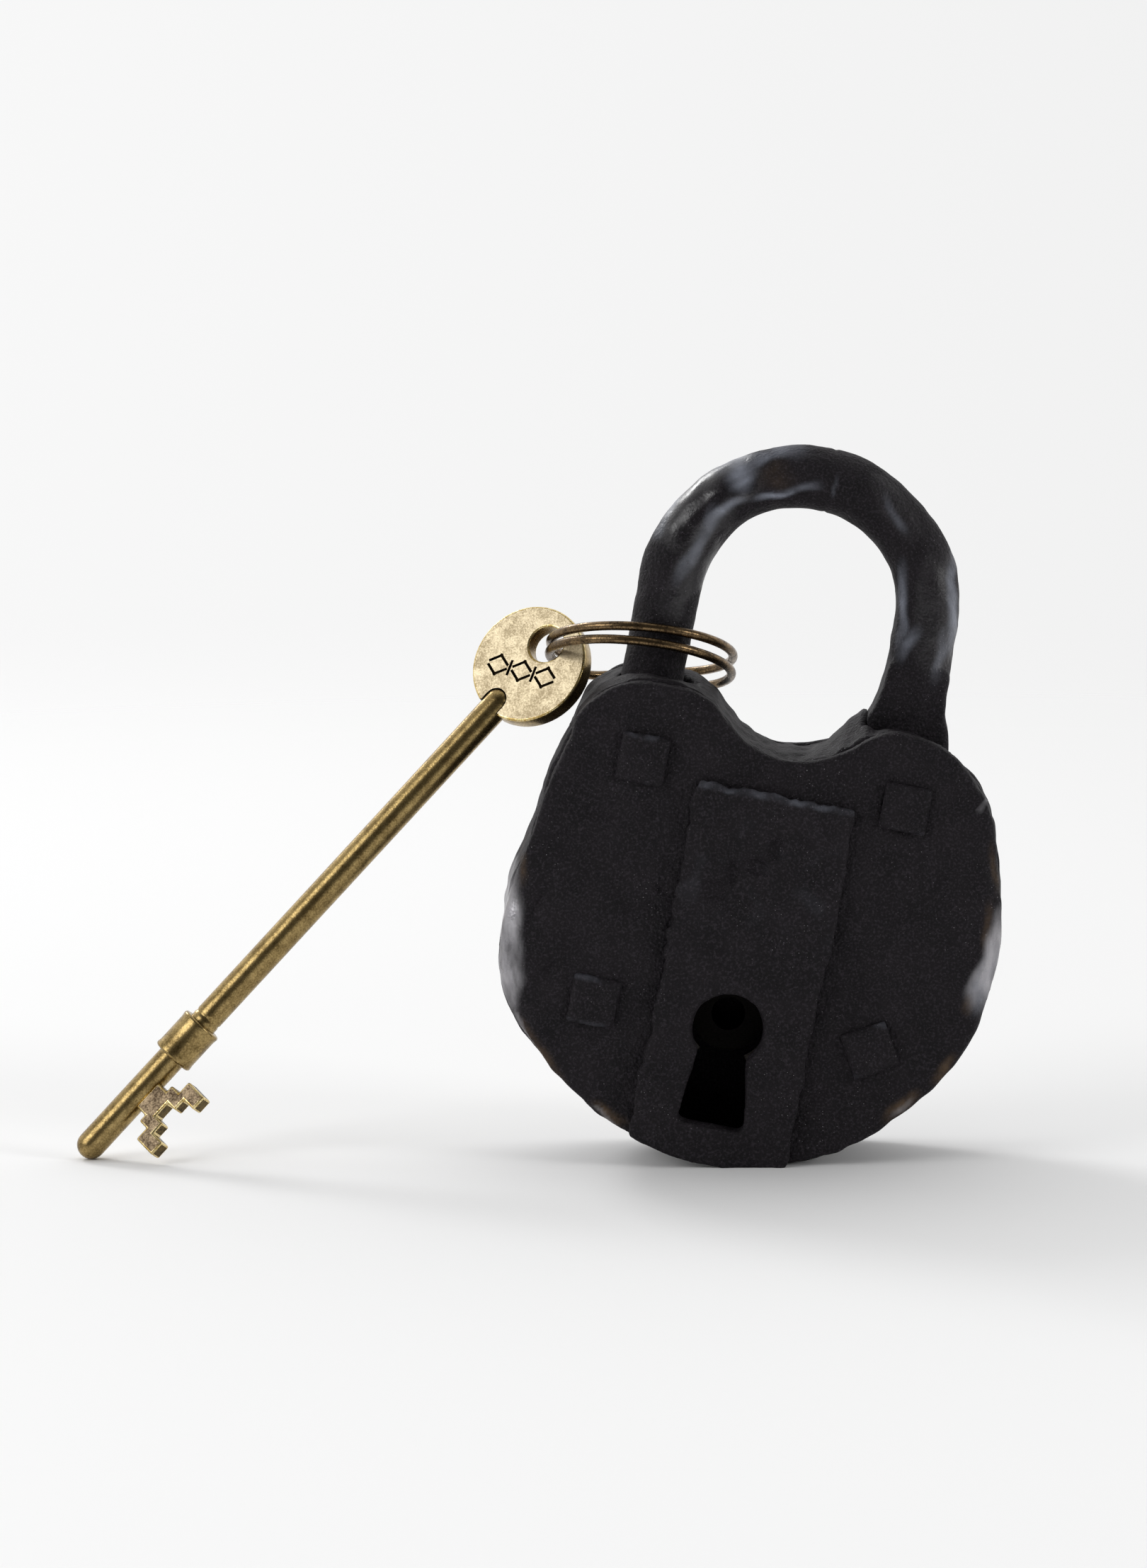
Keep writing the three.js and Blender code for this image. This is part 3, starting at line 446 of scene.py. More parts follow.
def brass(name, light, dark, low, high, rough_low, rough_high):
    """Cast brass, antiqued: mottled patina over pale metal, in clouds 2 mm apart.

    The flecks in it are a fifth of a millimetre apart, and are drawn a little coarser so that they show.
    """
    material, tree = blank_material(name)
    at = add(tree, "ShaderNodeTexCoord").outputs["Object"]
    cloud = add(tree, "ShaderNodeTexNoise", {"Vector": at, "Scale": 1 / (2 * MM), "Detail": 4.0, "Roughness": 0.6})
    flecks = add(tree, "ShaderNodeTexNoise", {"Vector": at, "Scale": 1 / (0.28 * MM), "Detail": 2.0})
    blend = add(tree, "ShaderNodeMath", {
        0: flecks.outputs["Fac"], 1: 0.9, 2: cloud.outputs["Fac"]}, operation="MULTIPLY_ADD")
    mottle = add(tree, "ShaderNodeMapRange", {"Value": blend.outputs[0], "From Min": low, "From Max": high})
    colour = add(tree, "ShaderNodeMix", {"Factor": mottle.outputs[0], "A": light, "B": dark}, data_type="RGBA")
    rough = add(tree, "ShaderNodeMapRange", {
        "Value": mottle.outputs[0], "To Min": rough_low, "To Max": rough_high})
    bump = add(tree, "ShaderNodeBump", {"Height": blend.outputs[0], "Strength": 0.5, "Distance": 0.03 * MM})
    shader = add(tree, "ShaderNodeBsdfPrincipled", {
        "Base Color": colour.outputs["Result"], "Roughness": rough.outputs[0], "Metallic": 1.0,
        "Normal": bump.outputs[0]})
    add(tree, "ShaderNodeOutputMaterial", {"Surface": shader.outputs[0]})
    return material


def inner_metal(name, light, dark, spacing, rough):
    """Plain inner metal under old oil: streaks of the file across it, with darker oil between them."""
    material, tree = blank_material(name)
    at = add(tree, "ShaderNodeTexCoord").outputs["Object"]
    drawn = add(tree, "ShaderNodeMapping", {"Vector": at, "Scale": (1, 1, 6)})
    lines = add(tree, "ShaderNodeTexNoise", {
        "Vector": drawn.outputs[0], "Scale": 1 / (spacing * MM), "Detail": 3.0})
    tone = add(tree, "ShaderNodeMapRange", {"Value": lines.outputs["Fac"], "From Min": 0.35, "From Max": 0.65})
    colour = add(tree, "ShaderNodeMix", {"Factor": tone.outputs[0], "A": light, "B": dark}, data_type="RGBA")
    bump = add(tree, "ShaderNodeBump", {"Height": lines.outputs["Fac"], "Strength": 0.4, "Distance": 0.02 * MM})
    shader = add(tree, "ShaderNodeBsdfPrincipled", {
        "Base Color": colour.outputs["Result"], "Roughness": rough, "Metallic": 1.0, "Normal": bump.outputs[0]})
    add(tree, "ShaderNodeOutputMaterial", {"Surface": shader.outputs[0]})
    return material


# ---- properties ----

def length(name, description, size):
    """A size that the user can change, given in millimetres."""
    return FloatProperty(name=name, description=description, default=size * MM, subtype="DISTANCE", unit="LENGTH")


def tint(name, description, code):
    """A colour that the user can change, given as sRGB hex."""
    return FloatVectorProperty(name=name, description=description, default=srgb(code), size=4, subtype="COLOR")


class PadlockSizes(bpy.types.PropertyGroup):
    skin: length("Skin grain", "Spacing of the points in the black skin", 0.45)
    lump_height: length("Lump height", "How far the black surface rises and falls", 0.7)
    edge_rounds: IntProperty(
        name="Edge softening", description="How often the edges of the plates are smoothed", default=22, min=0, max=60)
    left_swell: length("Left swell", "How far the case stands out at its lower left", 2.3)
    edge_facet: length("Rubbed facet", "How far the rubbed edge at the left falls back", 1.5)
    brass_edge: length("Brass edge", "Rounding of the edges of the bow and the bit", 0.32)
    engraving: length("Engraving depth", "Depth of the strokes cut in the bow", 0.3)


class PadlockColours(bpy.types.PropertyGroup):
    iron: tint("Iron", "The black of the case", "#0d0a0e")
    iron_grain: tint("Iron grain", "The palest grain of the black", "#353036")
    iron_cloud: tint("Iron clouds", "The paler patches in the black", "#191519")
    grit: tint("Grit", "The pale grains in the black", "#a19ea2")
    rust: tint("Rust", "Brown places along the edges", "#5e4c3a")
    # The milky colour also stands for painted highlights and reflections on the shackle, the strap's top, the rivet
    # heads and the right edge
    wax_and_highlight_colour: tint("Milky wax", "The blue-grey swirls on the shackle", "#b0b6c5")
    rubbed: tint("Rubbed edge", "The bare rubbed edge of the case", "#a9a7ab")
    brass_light: tint("Brass", "Pale rubbed brass of the bow", "#e8d8b6")
    brass_dark: tint("Patina", "Darker patina on the bow", "#b5a484")
    brass_old: tint("Old brass", "Brown brass of the ring", "#7a6549")
    floor: tint("Floor", "White studio paper", "#f5f5f5")


# ---- operators ----

class PADLOCK_OT_plates(bpy.types.Operator):
    """Builds the front and back plates with soft uneven edges"""
    bl_idname = "padlock.plates"
    bl_label = "Front and back plates"

    def execute(self, context):
        sizes, colours = context.scene.padlock_sizes, context.scene.padlock_colours
        iron = blacked_iron(colours)
        for node, side, seed in (("front_plate", -1, 1), ("back_plate", 1, 21)):
            mesh = skinned(node + "_skin", merged(node), sizes.skin, sizes.edge_rounds,
                           keep=lambda p, side=side: 1 - rise(p[:, 1] * side, *PLATE_SOFT))
            places, normals = upright(mesh)
            radius, angle = round_the_case(places)
            places += swell(places, sizes)
            # The rubbed edges fall back in a facet, half as far at the right as at the left
            left = rise(angle, 174, 184) * (1 - rise(angle, 210, 220)) * rise(radius, 34.8, 38.4)
            from_right = (angle + 180) % 360 - 180
            right = rise(from_right, -14, -6) * (1 - rise(from_right, 24, 34)) * rise(radius, 35.6, 38.2)
            facet = (left + 0.5 * right) * sizes.edge_facet / MM
            places[:, 1] -= side * (facet * rise(places[:, 1] * side, *PLATE_FACET))
            beaten = rise(places[:, 1] * side, *PLATE_BEATEN)[:, None]
            places += hammered(places, normals, sizes.lump_height / MM, seed) * beaten
            dents = 0.6 * marked(places, "dent") * rise(places[:, 1] * side, *PLATE_DENTED)
            places[:, 1] -= side * dents
            settle(mesh, places)
            wear(mesh, places)
            place(node + "_skin", mesh, "case", [node], [iron])
        return {"FINISHED"}


class PADLOCK_OT_wall(bpy.types.Operator):
    """Builds the wall between the plates, with creases where its band was bent into the valley"""
    bl_idname = "padlock.wall"
    bl_label = "Case wall"

    def execute(self, context):
        sizes, colours = context.scene.padlock_sizes, context.scene.padlock_colours
        mesh = skinned("case_wall", merged("case_rim"), sizes.skin, 3)
        places, normals = upright(mesh)
        # The right-hand end of the valley's band is turned up against the shackle's neck
        end_of_band = rise(places[:, 0], 3.6, 10.0) * (1 - rise(places[:, 0], 10.8, 13))
        turned_up = end_of_band * rise(places[:, 2], 25, 27) * bell(places[:, 1], 1, 7)
        places[:, 2] += 3.8 * turned_up
        places[:, 0] += 0.3 * turned_up
        places[:, 1] *= WALL_HALF / np.abs(places[:, 1]).max()
        places += swell(places, sizes)
        inside = rise(np.abs(places[:, 1]), *WALL_INSIDE)
        places += hammered(places, normals, sizes.lump_height / MM, 11) * (1 - inside)[:, None]
        # Creases that run across the valley floor, about 3.3 mm apart
        valley = bell(places[:, 0], -0.7, 17) * rise(places[:, 2], 20, 24)
        crease = np.sin(places[:, 0] * 1.9 + lumps(places, 5, 12) * 2.5) * 0.16 * valley * (1 - inside)
        places += normals * crease[:, None]
        settle(mesh, places)
        wear(mesh, places)
        place("case_wall", mesh, "case", ["case_rim"], [blacked_iron(colours)])
        return {"FINISHED"}


class PADLOCK_OT_strap(bpy.types.Operator):
    """Builds the raised strap with its keyhole, crumbled along its top and wavy down its sides"""
    bl_idname = "padlock.strap"
    bl_label = "Keyhole strap"

    def execute(self, context):
        sizes, colours = context.scene.padlock_sizes, context.scene.padlock_colours
        mesh = skinned("strap_skin", merged("keyhole_strap"), STRAP_SKIN, 12)
        places, normals = upright(mesh)
        x, z = places[:, 0].copy(), places[:, 2].copy()
        left, right, top = x.min(), x.max(), z.max()
        nothing = np.zeros_like(x)
        along, across = np.stack([nothing, nothing, z], axis=1), np.stack([x, nothing, nothing], axis=1)
        wave_left = lumps(along, 7, 31) * 0.55 + lumps(along, 2.2, 32) * 0.42 + lumps(along, 0.9, 30) * 0.24
        wave_right = lumps(along, 8, 33) * 0.45 + 0.55 * bell(z, 3, 5) + lumps(along, 2.5, 34) * 0.26
        crumbled = lumps(across, 3, 35) * 0.4 + lumps(across, 1.1, 36) * 0.3 - 0.2
        places[:, 0] += (1 - rise(x, left, left + 3)) * wave_left
        places[:, 0] += rise(x, right - 3, right) * wave_right
        places[:, 2] += rise(z, top - 2.2, top) * crumbled
        front = rise(-places[:, 1], *STRAP_FRONT)
        places += hammered(places, normals, sizes.lump_height / MM * 0.8, 37) * front[:, None]
        # A low ridge beside each long edge
        places[:, 1] -= 0.25 * front * (bell(x, left + 1.1, 0.7) + 0.6 * bell(x, right - 1.0, 0.6))
        # Generic shallow dimples
        for across_at, up_at, wide, high in (
                (-7.2, 4.4, 2.4, 1.5), (-5.0, 7.4, 1.3, 1.9), (-1.4, 9.2, 2.2, 1.2), (0.9, 12.4, 1.4, 1.7)):
            far = ((x - across_at) / wide) ** 2 + ((z - up_at) / high) ** 2
            places[:, 1] += 0.8 * front * np.exp(-far ** 3)
        settle(mesh, places)
        # A painted highlight along the crumbled top edge, where the light catches it, and faint drifts of old wax in
        # the middle
        edge_highlight = rise(z, top - 1.5, top - 0.7) * (0.04 + 0.12 * rise(lumps(places, 2.2, 38), -0.2, 0.7))
        drifts = 0.03 * rise(lumps(places, 3, 40), 0, 0.8) * bell(z, 8, 6)
        paint(mesh, "wax_and_highlight", front * np.maximum(edge_highlight, drifts))
        place("strap_skin", mesh, "case", ["keyhole_strap"], [blacked_iron(colours)])
        return {"FINISHED"}


class PADLOCK_OT_rivets(bpy.types.Operator):
    """Builds the square heads of the three rivets and the pivot pin, blunted and sunk in the black"""
    bl_idname = "padlock.rivets"
    bl_label = "Rivets and pivot pin"

    def execute(self, context):
        iron = blacked_iron(context.scene.padlock_colours)
        nodes = ("rivet_top_left", "rivet_bottom_left", "rivet_bottom_right", "shackle_pivot_pin")
        for seed, node in enumerate(nodes):
            mesh = skinned(node + "_head", merged(node), RIVET_SKIN, 18)
            places, normals = upright(mesh)
            # The root of each head is spread on to the plate, and its face is beaten
            out = np.abs(places[:, 1])
            root = rise(out, *RIVET_ROOT) * (1 - rise(out, *RIVET_NECK))
            middle = (places.max(axis=0) + places.min(axis=0)) / 2
            places += (places - middle) * (0.12, 0, 0.12) * root[:, None]
            places[:, 1] -= np.sign(places[:, 1]) * 0.36 * root
            beaten = rise(np.abs(places[:, 1]), *RIVET_BEATEN)[:, None]
            places += hammered(places, normals, 0.7, 41 + 3 * seed) * beaten
            settle(mesh, places)
            # Painted highlights along the top and bottom edges of each head
            height, half = places[:, 2] - middle[2], (places[:, 2].max() - places[:, 2].min()) / 2
            edge_highlight = 0.09 * rise(height, half * 0.7, half * 0.9) + 0.07 * rise(-height, half * 0.75, half * 0.9)
            broken = rise(lumps(places, 2.5, 71 + seed), -0.2, 0.5)
            paint(mesh, "wax_and_highlight", edge_highlight * broken * rise(-places[:, 1], *RIVET_FRONT))
            place(node + "_head", mesh, "case", [node], [iron])
        return {"FINISHED"}


class PADLOCK_OT_shackle(bpy.types.Operator):
    """Builds the round bar of the shackle and its toe, with milky streaks of old wax and painted reflections where it
    is handled
    """
    bl_idname = "padlock.shackle"
    bl_label = "Shackle"

    def execute(self, context):
        sizes, colours = context.scene.padlock_sizes, context.scene.padlock_colours
        iron = blacked_iron(colours)
        for node, voxel, rounds in (("shackle", 0.45 * MM, 16), ("shackle_toe", 0.35 * MM, 4)):
            mesh = skinned(node + "_skin", merged(node), voxel, rounds)
            places, normals = upright(mesh)
            free = rise(places[:, 2], *BAR_FREE)
            places += normals * (0.12 * free)[:, None]
            places += hammered(places, normals, sizes.lump_height / MM * 0.8, 51) * free[:, None]
            # A fine seam across the top of the arch
            turn = np.degrees(np.arctan2(places[:, 2] - ARCH[1], places[:, 0] - ARCH[0]))
            seam = 0.18 * bell(turn + 3 * lumps(places, 6, 55), 86, 1.0) * (places[:, 2] > ARCH[1])
            places -= normals * seam[:, None]
            settle(mesh, places)
            # Streaks follow the bar, round the arch and down the legs, and are about nine times as long as wide
            x, z = places[:, 0] - ARCH[0], places[:, 2] - ARCH[1]
            side, on_arch = np.sign(x), places[:, 2] > ARCH[1]
            down_the_leg = side * z + HALF_WAY_ROUND - HALF_WAY_ROUND * side
            along = np.where(on_arch, np.radians(turn) * ARCH_R, down_the_leg)
            aside = np.where(on_arch, np.hypot(x, z), np.abs(x))
            bar = np.stack([along / 9, aside, places[:, 1] * 0.8], axis=1)
            # The milky streaks are old wax and painted reflections of the glossy bar
            wear(mesh, places, 0.7 + 0.3 * rise(lumps(bar, 1.3, 57), -0.4, 0.4))
            place(node + "_skin", mesh, "shackle", [node], [iron])
        return {"FINISHED"}


class PADLOCK_OT_inside(bpy.types.Operator):
    """Gives the hidden works of the lock their oiled steel and sawn brass, and paints the bearing behind the keyhole
    near black as painted shade
    """
    bl_idname = "padlock.inside"
    bl_label = "Works inside"

    def execute(self, context):
        finishes = {
            "inner_steel": inner_metal("Filed steel under old oil", srgb("#4a4744"), srgb("#24211f"), 0.5, 0.42),
            "bolt_brass": inner_metal("Sawn brass plate", srgb("#b79a5c"), srgb("#85693a"), 0.4, 0.36),
        }
        # The bearing seen through the keyhole is painted near black: painted shade that keeps the keyhole dark
        keyhole_shade = inner_metal("Bearing steel darkened as painted shade", srgb("#1c1a19"), srgb("#0b0a0a"), 0.5, 0.5)
        for part in frame["record"]["subparts"]:
            if part["material_slot"] in finishes:
                mesh = frame["nodes"][part["node"]].data
                mesh.materials.clear()
                mesh.materials.append(keyhole_shade if part["node"] == "key_bearing" else finishes[part["material_slot"]])
        return {"FINISHED"}


# Sizes of the split ring: the radius of the middle of its wire, and of the wire
RING_R = 14.25
WIRE_R = 0.72
WIRE_SIDES = 16
RING_STEPS = 176


def ring_frame():
    """Places in the flat ring, in millimetres, turned into the frame.

    The ring's left end is the key's hinge, and both hinges give its directions.
    """
    across, through = Vector(JOINTS["ring_tilt"]["axis"]), Vector(JOINTS["key_swing"]["axis"])
    middle = Vector(JOINTS["key_swing"]["pos_m"]) + across * RING_R * MM
    turn = Matrix((across, through, across.cross(through))).transposed().to_4x4()
    return Matrix.Translation(middle) @ turn @ Matrix.Scale(MM, 4)


class PADLOCK_OT_ring(bpy.types.Operator):
    """Builds the split ring: two turns of round wire that step across from one coil to the other"""
    bl_idname = "padlock.ring"
    bl_label = "Split ring"

    def execute(self, context):
        # The wire starts at an angle, crosses from coil to coil over one stretch, and ends short of two turns
        start, cross, end = math.radians(82), math.radians(50), math.radians(14)
        whole = 4 * math.pi - cross - end
        bm = bmesh.new()
        stand = Matrix.Translation((RING_R, 0, 0)) @ Matrix.Rotation(math.pi / 2, 4, "X")
        bmesh.ops.create_circle(bm, segments=WIRE_SIDES, radius=WIRE_R, matrix=stand)
        bmesh.ops.spin(bm, geom=bm.verts[:] + bm.edges[:], cent=(0, 0, 0), axis=(0, 0, 1), angle=whole,
                       steps=RING_STEPS)
        bm.verts.ensure_lookup_table()
        for i, vert in enumerate(bm.verts):
            along = whole * (i // WIRE_SIDES) / RING_STEPS
            t = min(max((along - (2 * math.pi - cross)) / cross, 0), 1)
            # Each coil stands 0.9 mm from the middle at the left, where the bow hangs, and 1.4 mm at the right
            spread = (4.6 + math.cos(start + cross + along)) / 4
            vert.co.z += spread * (1 - 2 * t * t * (3 - 2 * t))
        bmesh.ops.rotate(bm, verts=bm.verts, cent=(0, 0, 0), matrix=Matrix.Rotation(start + cross, 3, "Z"))
        bmesh.ops.holes_fill(bm, edges=[e for e in bm.edges if e.is_boundary], sides=0)
        bmesh.ops.recalc_face_normals(bm, faces=bm.faces)
        bm.transform(ring_frame())
        old = context.scene.padlock_colours.brass_old
        wire = brass("Drawn brass wire, aged brown", old, srgb("#33281d"), 0.78, 1.2, 0.22, 0.4)
        place("wire_ring", mesh_of("wire_ring", bm), "split_ring", ["split_ring"], [wire])
        return {"FINISHED"}


# Sizes of the key from its tip, as in the part's source
SHANK_R, SHANK_END = 2.25, 98.2
COLLAR_START, COLLAR_END, COLLAR_R = 20.8, 27.9, 3.35
BOW_CENTRE, BOW_R, BOW_T, HOLE_R, HOLE_SHIFT = 103.6, 9.5, 3.0, 2.9, 4.1
BIT_CENTRE, BIT_T = 14.1, 2.6
TIP_FORWARD = 4  # how far the tip stands in front of the middle of the lock's depth
KEY_ROLL = math.radians(-35)  # how far the key is rolled about its own axis from facing the front
COLLAR_SOFT = 0.45  # rounding of the collar's rims
SEAT_R, SEAT_START = SHANK_R + 0.22, 89.6  # the seat cut in the bow, a little wider than the shank
STROKE = 0.45  # width of the strokes cut in the bow

# Slots of the key's materials on a piece with several
FACE, RUBBED, CUT_SIDE, ENGRAVED = range(4)


def key_frame():
    """Places in the key, in millimetres, turned into the frame.

    The key's axis is along Y from the tip, and its face is towards Z.
    """
    hole = Vector(JOINTS["key_swing"]["pos_m"])
    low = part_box("key_shank")[0]
    tip = Vector((low.x + SHANK_R * MM, -TIP_FORWARD * MM, low.z + SHANK_R * MM))
    along = (hole - tip).normalized()
    face = Vector((0, -1, 0))
    face = (face - along * face.dot(along)).normalized()
    face = Matrix.Rotation(KEY_ROLL, 3, along) @ face
    turn = Matrix((along.cross(face), along, face)).transposed().to_4x4()
    return Matrix.Translation(hole - along * (BOW_CENTRE + HOLE_SHIFT) * MM) @ turn @ Matrix.Scale(MM, 4)


def turned(bm, profile, steps):
    """Spins a line of (radius, place along Y) about the Y axis into a closed solid."""
    verts = [bm.verts.new((radius, up, 0)) for radius, up in profile]
    edges = [bm.edges.new(pair) for pair in zip(verts, verts[1:])]
    bmesh.ops.spin(bm, geom=verts + edges, cent=(0, 0, 0), axis=(0, 1, 0), angle=2 * math.pi, steps=steps,
                   use_merge=True)
    bmesh.ops.remove_doubles(bm, verts=bm.verts, dist=0.001)
    bmesh.ops.recalc_face_normals(bm, faces=bm.faces)


def rounded_end(radius, at, way, steps=8):
    """The profile of a round end, from the axis outwards where way is -1 and back to it where way is 1."""
    turns = [math.pi / 2 * i / steps for i in range(steps + 1)]
    if way < 0:
        return [(radius * math.sin(t), at + radius * (1 - math.cos(t))) for t in turns]
    return [(radius * math.cos(t), at - radius * (1 - math.sin(t))) for t in turns]


def thickened(bm, faces, thickness):
    """Gives flat faces a thickness along Z."""
    grown = bmesh.ops.extrude_face_region(bm, geom=faces)
    top = [v for v in grown["geom"] if isinstance(v, bmesh.types.BMVert)]
    bmesh.ops.translate(bm, verts=top, vec=(0, 0, thickness))
    bmesh.ops.recalc_face_normals(bm, faces=bm.faces)


def blunted(bm, edges, offset, clamp):
    """Rounds edges, and gives their roundings and the cut sides materials of their own."""
    rounding = bmesh.ops.bevel(bm, geom=edges, offset=offset, segments=3, profile=0.5, affect="EDGES", material=-1,
                               clamp_overlap=clamp)
    for face in rounding["faces"]:
        face.material_index = RUBBED
    for face in bm.faces:
        if face.material_index == FACE and abs(face.normal.z) < 0.5:
            face.material_index = CUT_SIDE


class PADLOCK_OT_key(bpy.types.Operator):
    """Builds the key: its round shank and collar, the stepped bit and the disc bow with strokes cut in it"""
    bl_idname = "padlock.key"
    bl_label = "Key"

    def execute(self, context):
        sizes, colours = context.scene.padlock_sizes, context.scene.padlock_colours
        to_frame = key_frame()
        filed = brass("Cast brass, filed bit", srgb("#96846b"), srgb("#534536"), 0.76, 1.15, 0.44, 0.56)
        disc = brass("Cast brass, antiqued face", colours.brass_light, colours.brass_dark, 0.78, 1.15, 0.4, 0.5)
        rubbed = brass("Cast brass, rubbed edge", srgb("#ecd9a4"), srgb("#b0924f"), 0.8, 1.15, 0.24, 0.34)
        bar = brass("Cast brass, handled shank", srgb("#ae9664"), srgb("#524122"), 0.66, 1.34, 0.25, 0.32)
        sides = brass("Cast brass, brown down the cut sides", srgb("#6a5831"), srgb("#2e2413"), 0.75, 1.15, 0.34, 0.46)
        dark = brass("Cast brass, dark in the cuts", srgb("#241c10"), srgb("#120e09"), 0.78, 1.15, 0.5, 0.6)
        rounding = sizes.brass_edge / MM

        def keep(name, bm, node, materials, flats=()):
            """Turns a finished piece of the key into the frame and places it."""
            bm.transform(to_frame)
            place(name, mesh_of(name, bm), "key", [node], materials, flats)

        # Shank, with its narrow groove above the collar
        bm = bmesh.new()
        groove = ((0, 0.5), (0, 0.9), (0.1, 1.1), (0.1, 1.3), (0, 1.5), (0, 1.9))
        line = rounded_end(SHANK_R, 0, -1) + [(SHANK_R, 10), (SHANK_R, 20)]
        line += [(SHANK_R - deep, COLLAR_END + up) for deep, up in groove]
        line += [(SHANK_R, up) for up in (35, 50, 65, 80, 92)] + rounded_end(SHANK_R, SHANK_END, 1)
        turned(bm, line, 48)
        keep("shank", bm, "key_shank", [bar])

        # Collar, a little hollow between its rounded rims
        bm = bmesh.new()
        inner, flat_r, waist = SHANK_R + 0.02, COLLAR_R - COLLAR_SOFT, COLLAR_R - 0.1
        bends = [(flat_r + COLLAR_SOFT * math.sin(t), COLLAR_SOFT - COLLAR_SOFT * math.cos(t))
                 for t in (0.4, 0.8, 1.2, 1.57)]
        line = [(inner, COLLAR_START), (flat_r, COLLAR_START)]
        line += [(radius, COLLAR_START + up) for radius, up in bends]
        line += [(waist, COLLAR_START + 1.1), (waist, COLLAR_END - 1.1)]
        line += [(radius, COLLAR_END - up) for radius, up in reversed(bends)]
        line += [(flat_r, COLLAR_END), (inner, COLLAR_END), (inner, COLLAR_START)]
        turned(bm, line, 48)
        keep("collar", bm, "key_collar", [bar])

        # Bit: half of its outline, mirrored about its middle, thickened and blunted
        bm = bmesh.new()
        half = [(5, 2.0), (5, 4.2), (7.5, 4.2), (7.5, 6), (12.1, 6), (12.1, 10), (7, 10), (7, 7.6), (2.8, 7.6),
                (2.8, 5.8)]
        outline = [(out, wide / 2) for wide, out in half] + [(out, -wide / 2) for wide, out in reversed(half)]
        corners = [bm.verts.new((out, BIT_CENTRE + up, -BIT_T / 2)) for out, up in reversed(outline)]
        thickened(bm, [bm.faces.new(corners)], BIT_T)
        blunted(bm, bm.edges[:], rounding, clamp=True)
        keep("bit", bm, "key_bit", [filed, rubbed, sides], (FACE, CUT_SIDE))

        # Bow: a disc with a round hole, rounded along its rims
        bm = bmesh.new()
        circles = []
        for radius, up in ((BOW_R, BOW_CENTRE), (HOLE_R, BOW_CENTRE + HOLE_SHIFT)):
            stand = Matrix.Translation((0, up, -BOW_T / 2))
            made = bmesh.ops.create_circle(bm, segments=72, radius=radius, matrix=stand)
            circles += dict.fromkeys(edge for vert in made["verts"] for edge in vert.link_edges)
        bmesh.ops.bridge_loops(bm, edges=circles)
        thickened(bm, bm.faces[:], BOW_T)
        rims = [e for e in bm.edges if len(e.link_faces) == 2 and e.calc_face_angle() > 1]
        blunted(bm, rims, rounding, clamp=False)
        bow = link("bow_blank", mesh_of("bow", bm))

        # What is cut out of the bow: its seat for the shank, and a row of lozenges with a bar between them
        bm = bmesh.new()
        turned(bm, rounded_end(SEAT_R, SEAT_START, -1) + rounded_end(SEAT_R, SHANK_END + 0.22, 1), 32)
        strokes = []
        for middle in (-4.3, 0.0, 4.3):
            for across, up in ((-0.75, 1.0), (0.75, 1.0), (-0.75, -1.0), (0.75, -1.0)):
                strokes.append((middle + across, up, 2.5, math.copysign(37, -across * up)))
        strokes += [(-2.15, 0, 2.6, 90), (2.15, 0, 2.6, 90)]
        row = Matrix.Translation((0.0, BOW_CENTRE - 1.6, BOW_T / 2)) @ Matrix.Rotation(math.radians(24), 4, "Z")
        for across, up, long, way in strokes:
            stand = Matrix.Translation((across, up, 0)) @ Matrix.Rotation(math.radians(way - 90), 4, "Z")
            shape = Matrix.Diagonal((STROKE, long, 2 * sizes.engraving / MM, 1))
            bmesh.ops.create_cube(bm, size=1, matrix=row @ (stand @ shape))
        for face in bm.faces:
            face.material_index = ENGRAVED
        cutter = link("bow_cuts", mesh_of("bow_cuts", bm))
        brasses = [disc, rubbed, bar, dark]
        for obj in (bow, cutter):
            for material in brasses:
                obj.data.materials.append(material)
        cuts = bow.modifiers.new("cuts", "BOOLEAN")
        cuts.operation, cuts.solver, cuts.object, cuts.use_self = "DIFFERENCE", "EXACT", cutter, True
        mesh = applied(bow)
        bpy.data.objects.remove(cutter)
        bm = bmesh.new()
        bm.from_mesh(mesh)
        keep("bow", bm, "key_bow", brasses, (FACE,))
        return {"FINISHED"}


# The lamps: name, place, width of the square that shines, watts
LAMPS = (
    ("softbox_left", (-0.62, 0.85, 0.75), 0.35, 4.8),
    ("softbox_right", (0.95, -0.45, 0.36), 0.3, 3.0),
    ("softbox_front", (-0.9, -0.55, 0.5), 0.6, 4.3),
)
LAMPS_AIM = Vector((0, 0, 0.04))
CAMERA_AIM = Vector((-0.02802, 0, 0.05808))
CAMERA_AWAY = 1.103
CAMERA_TILT, CAMERA_TURN, CAMERA_ROLL = math.radians(8), math.radians(1.48), math.radians(0.49)


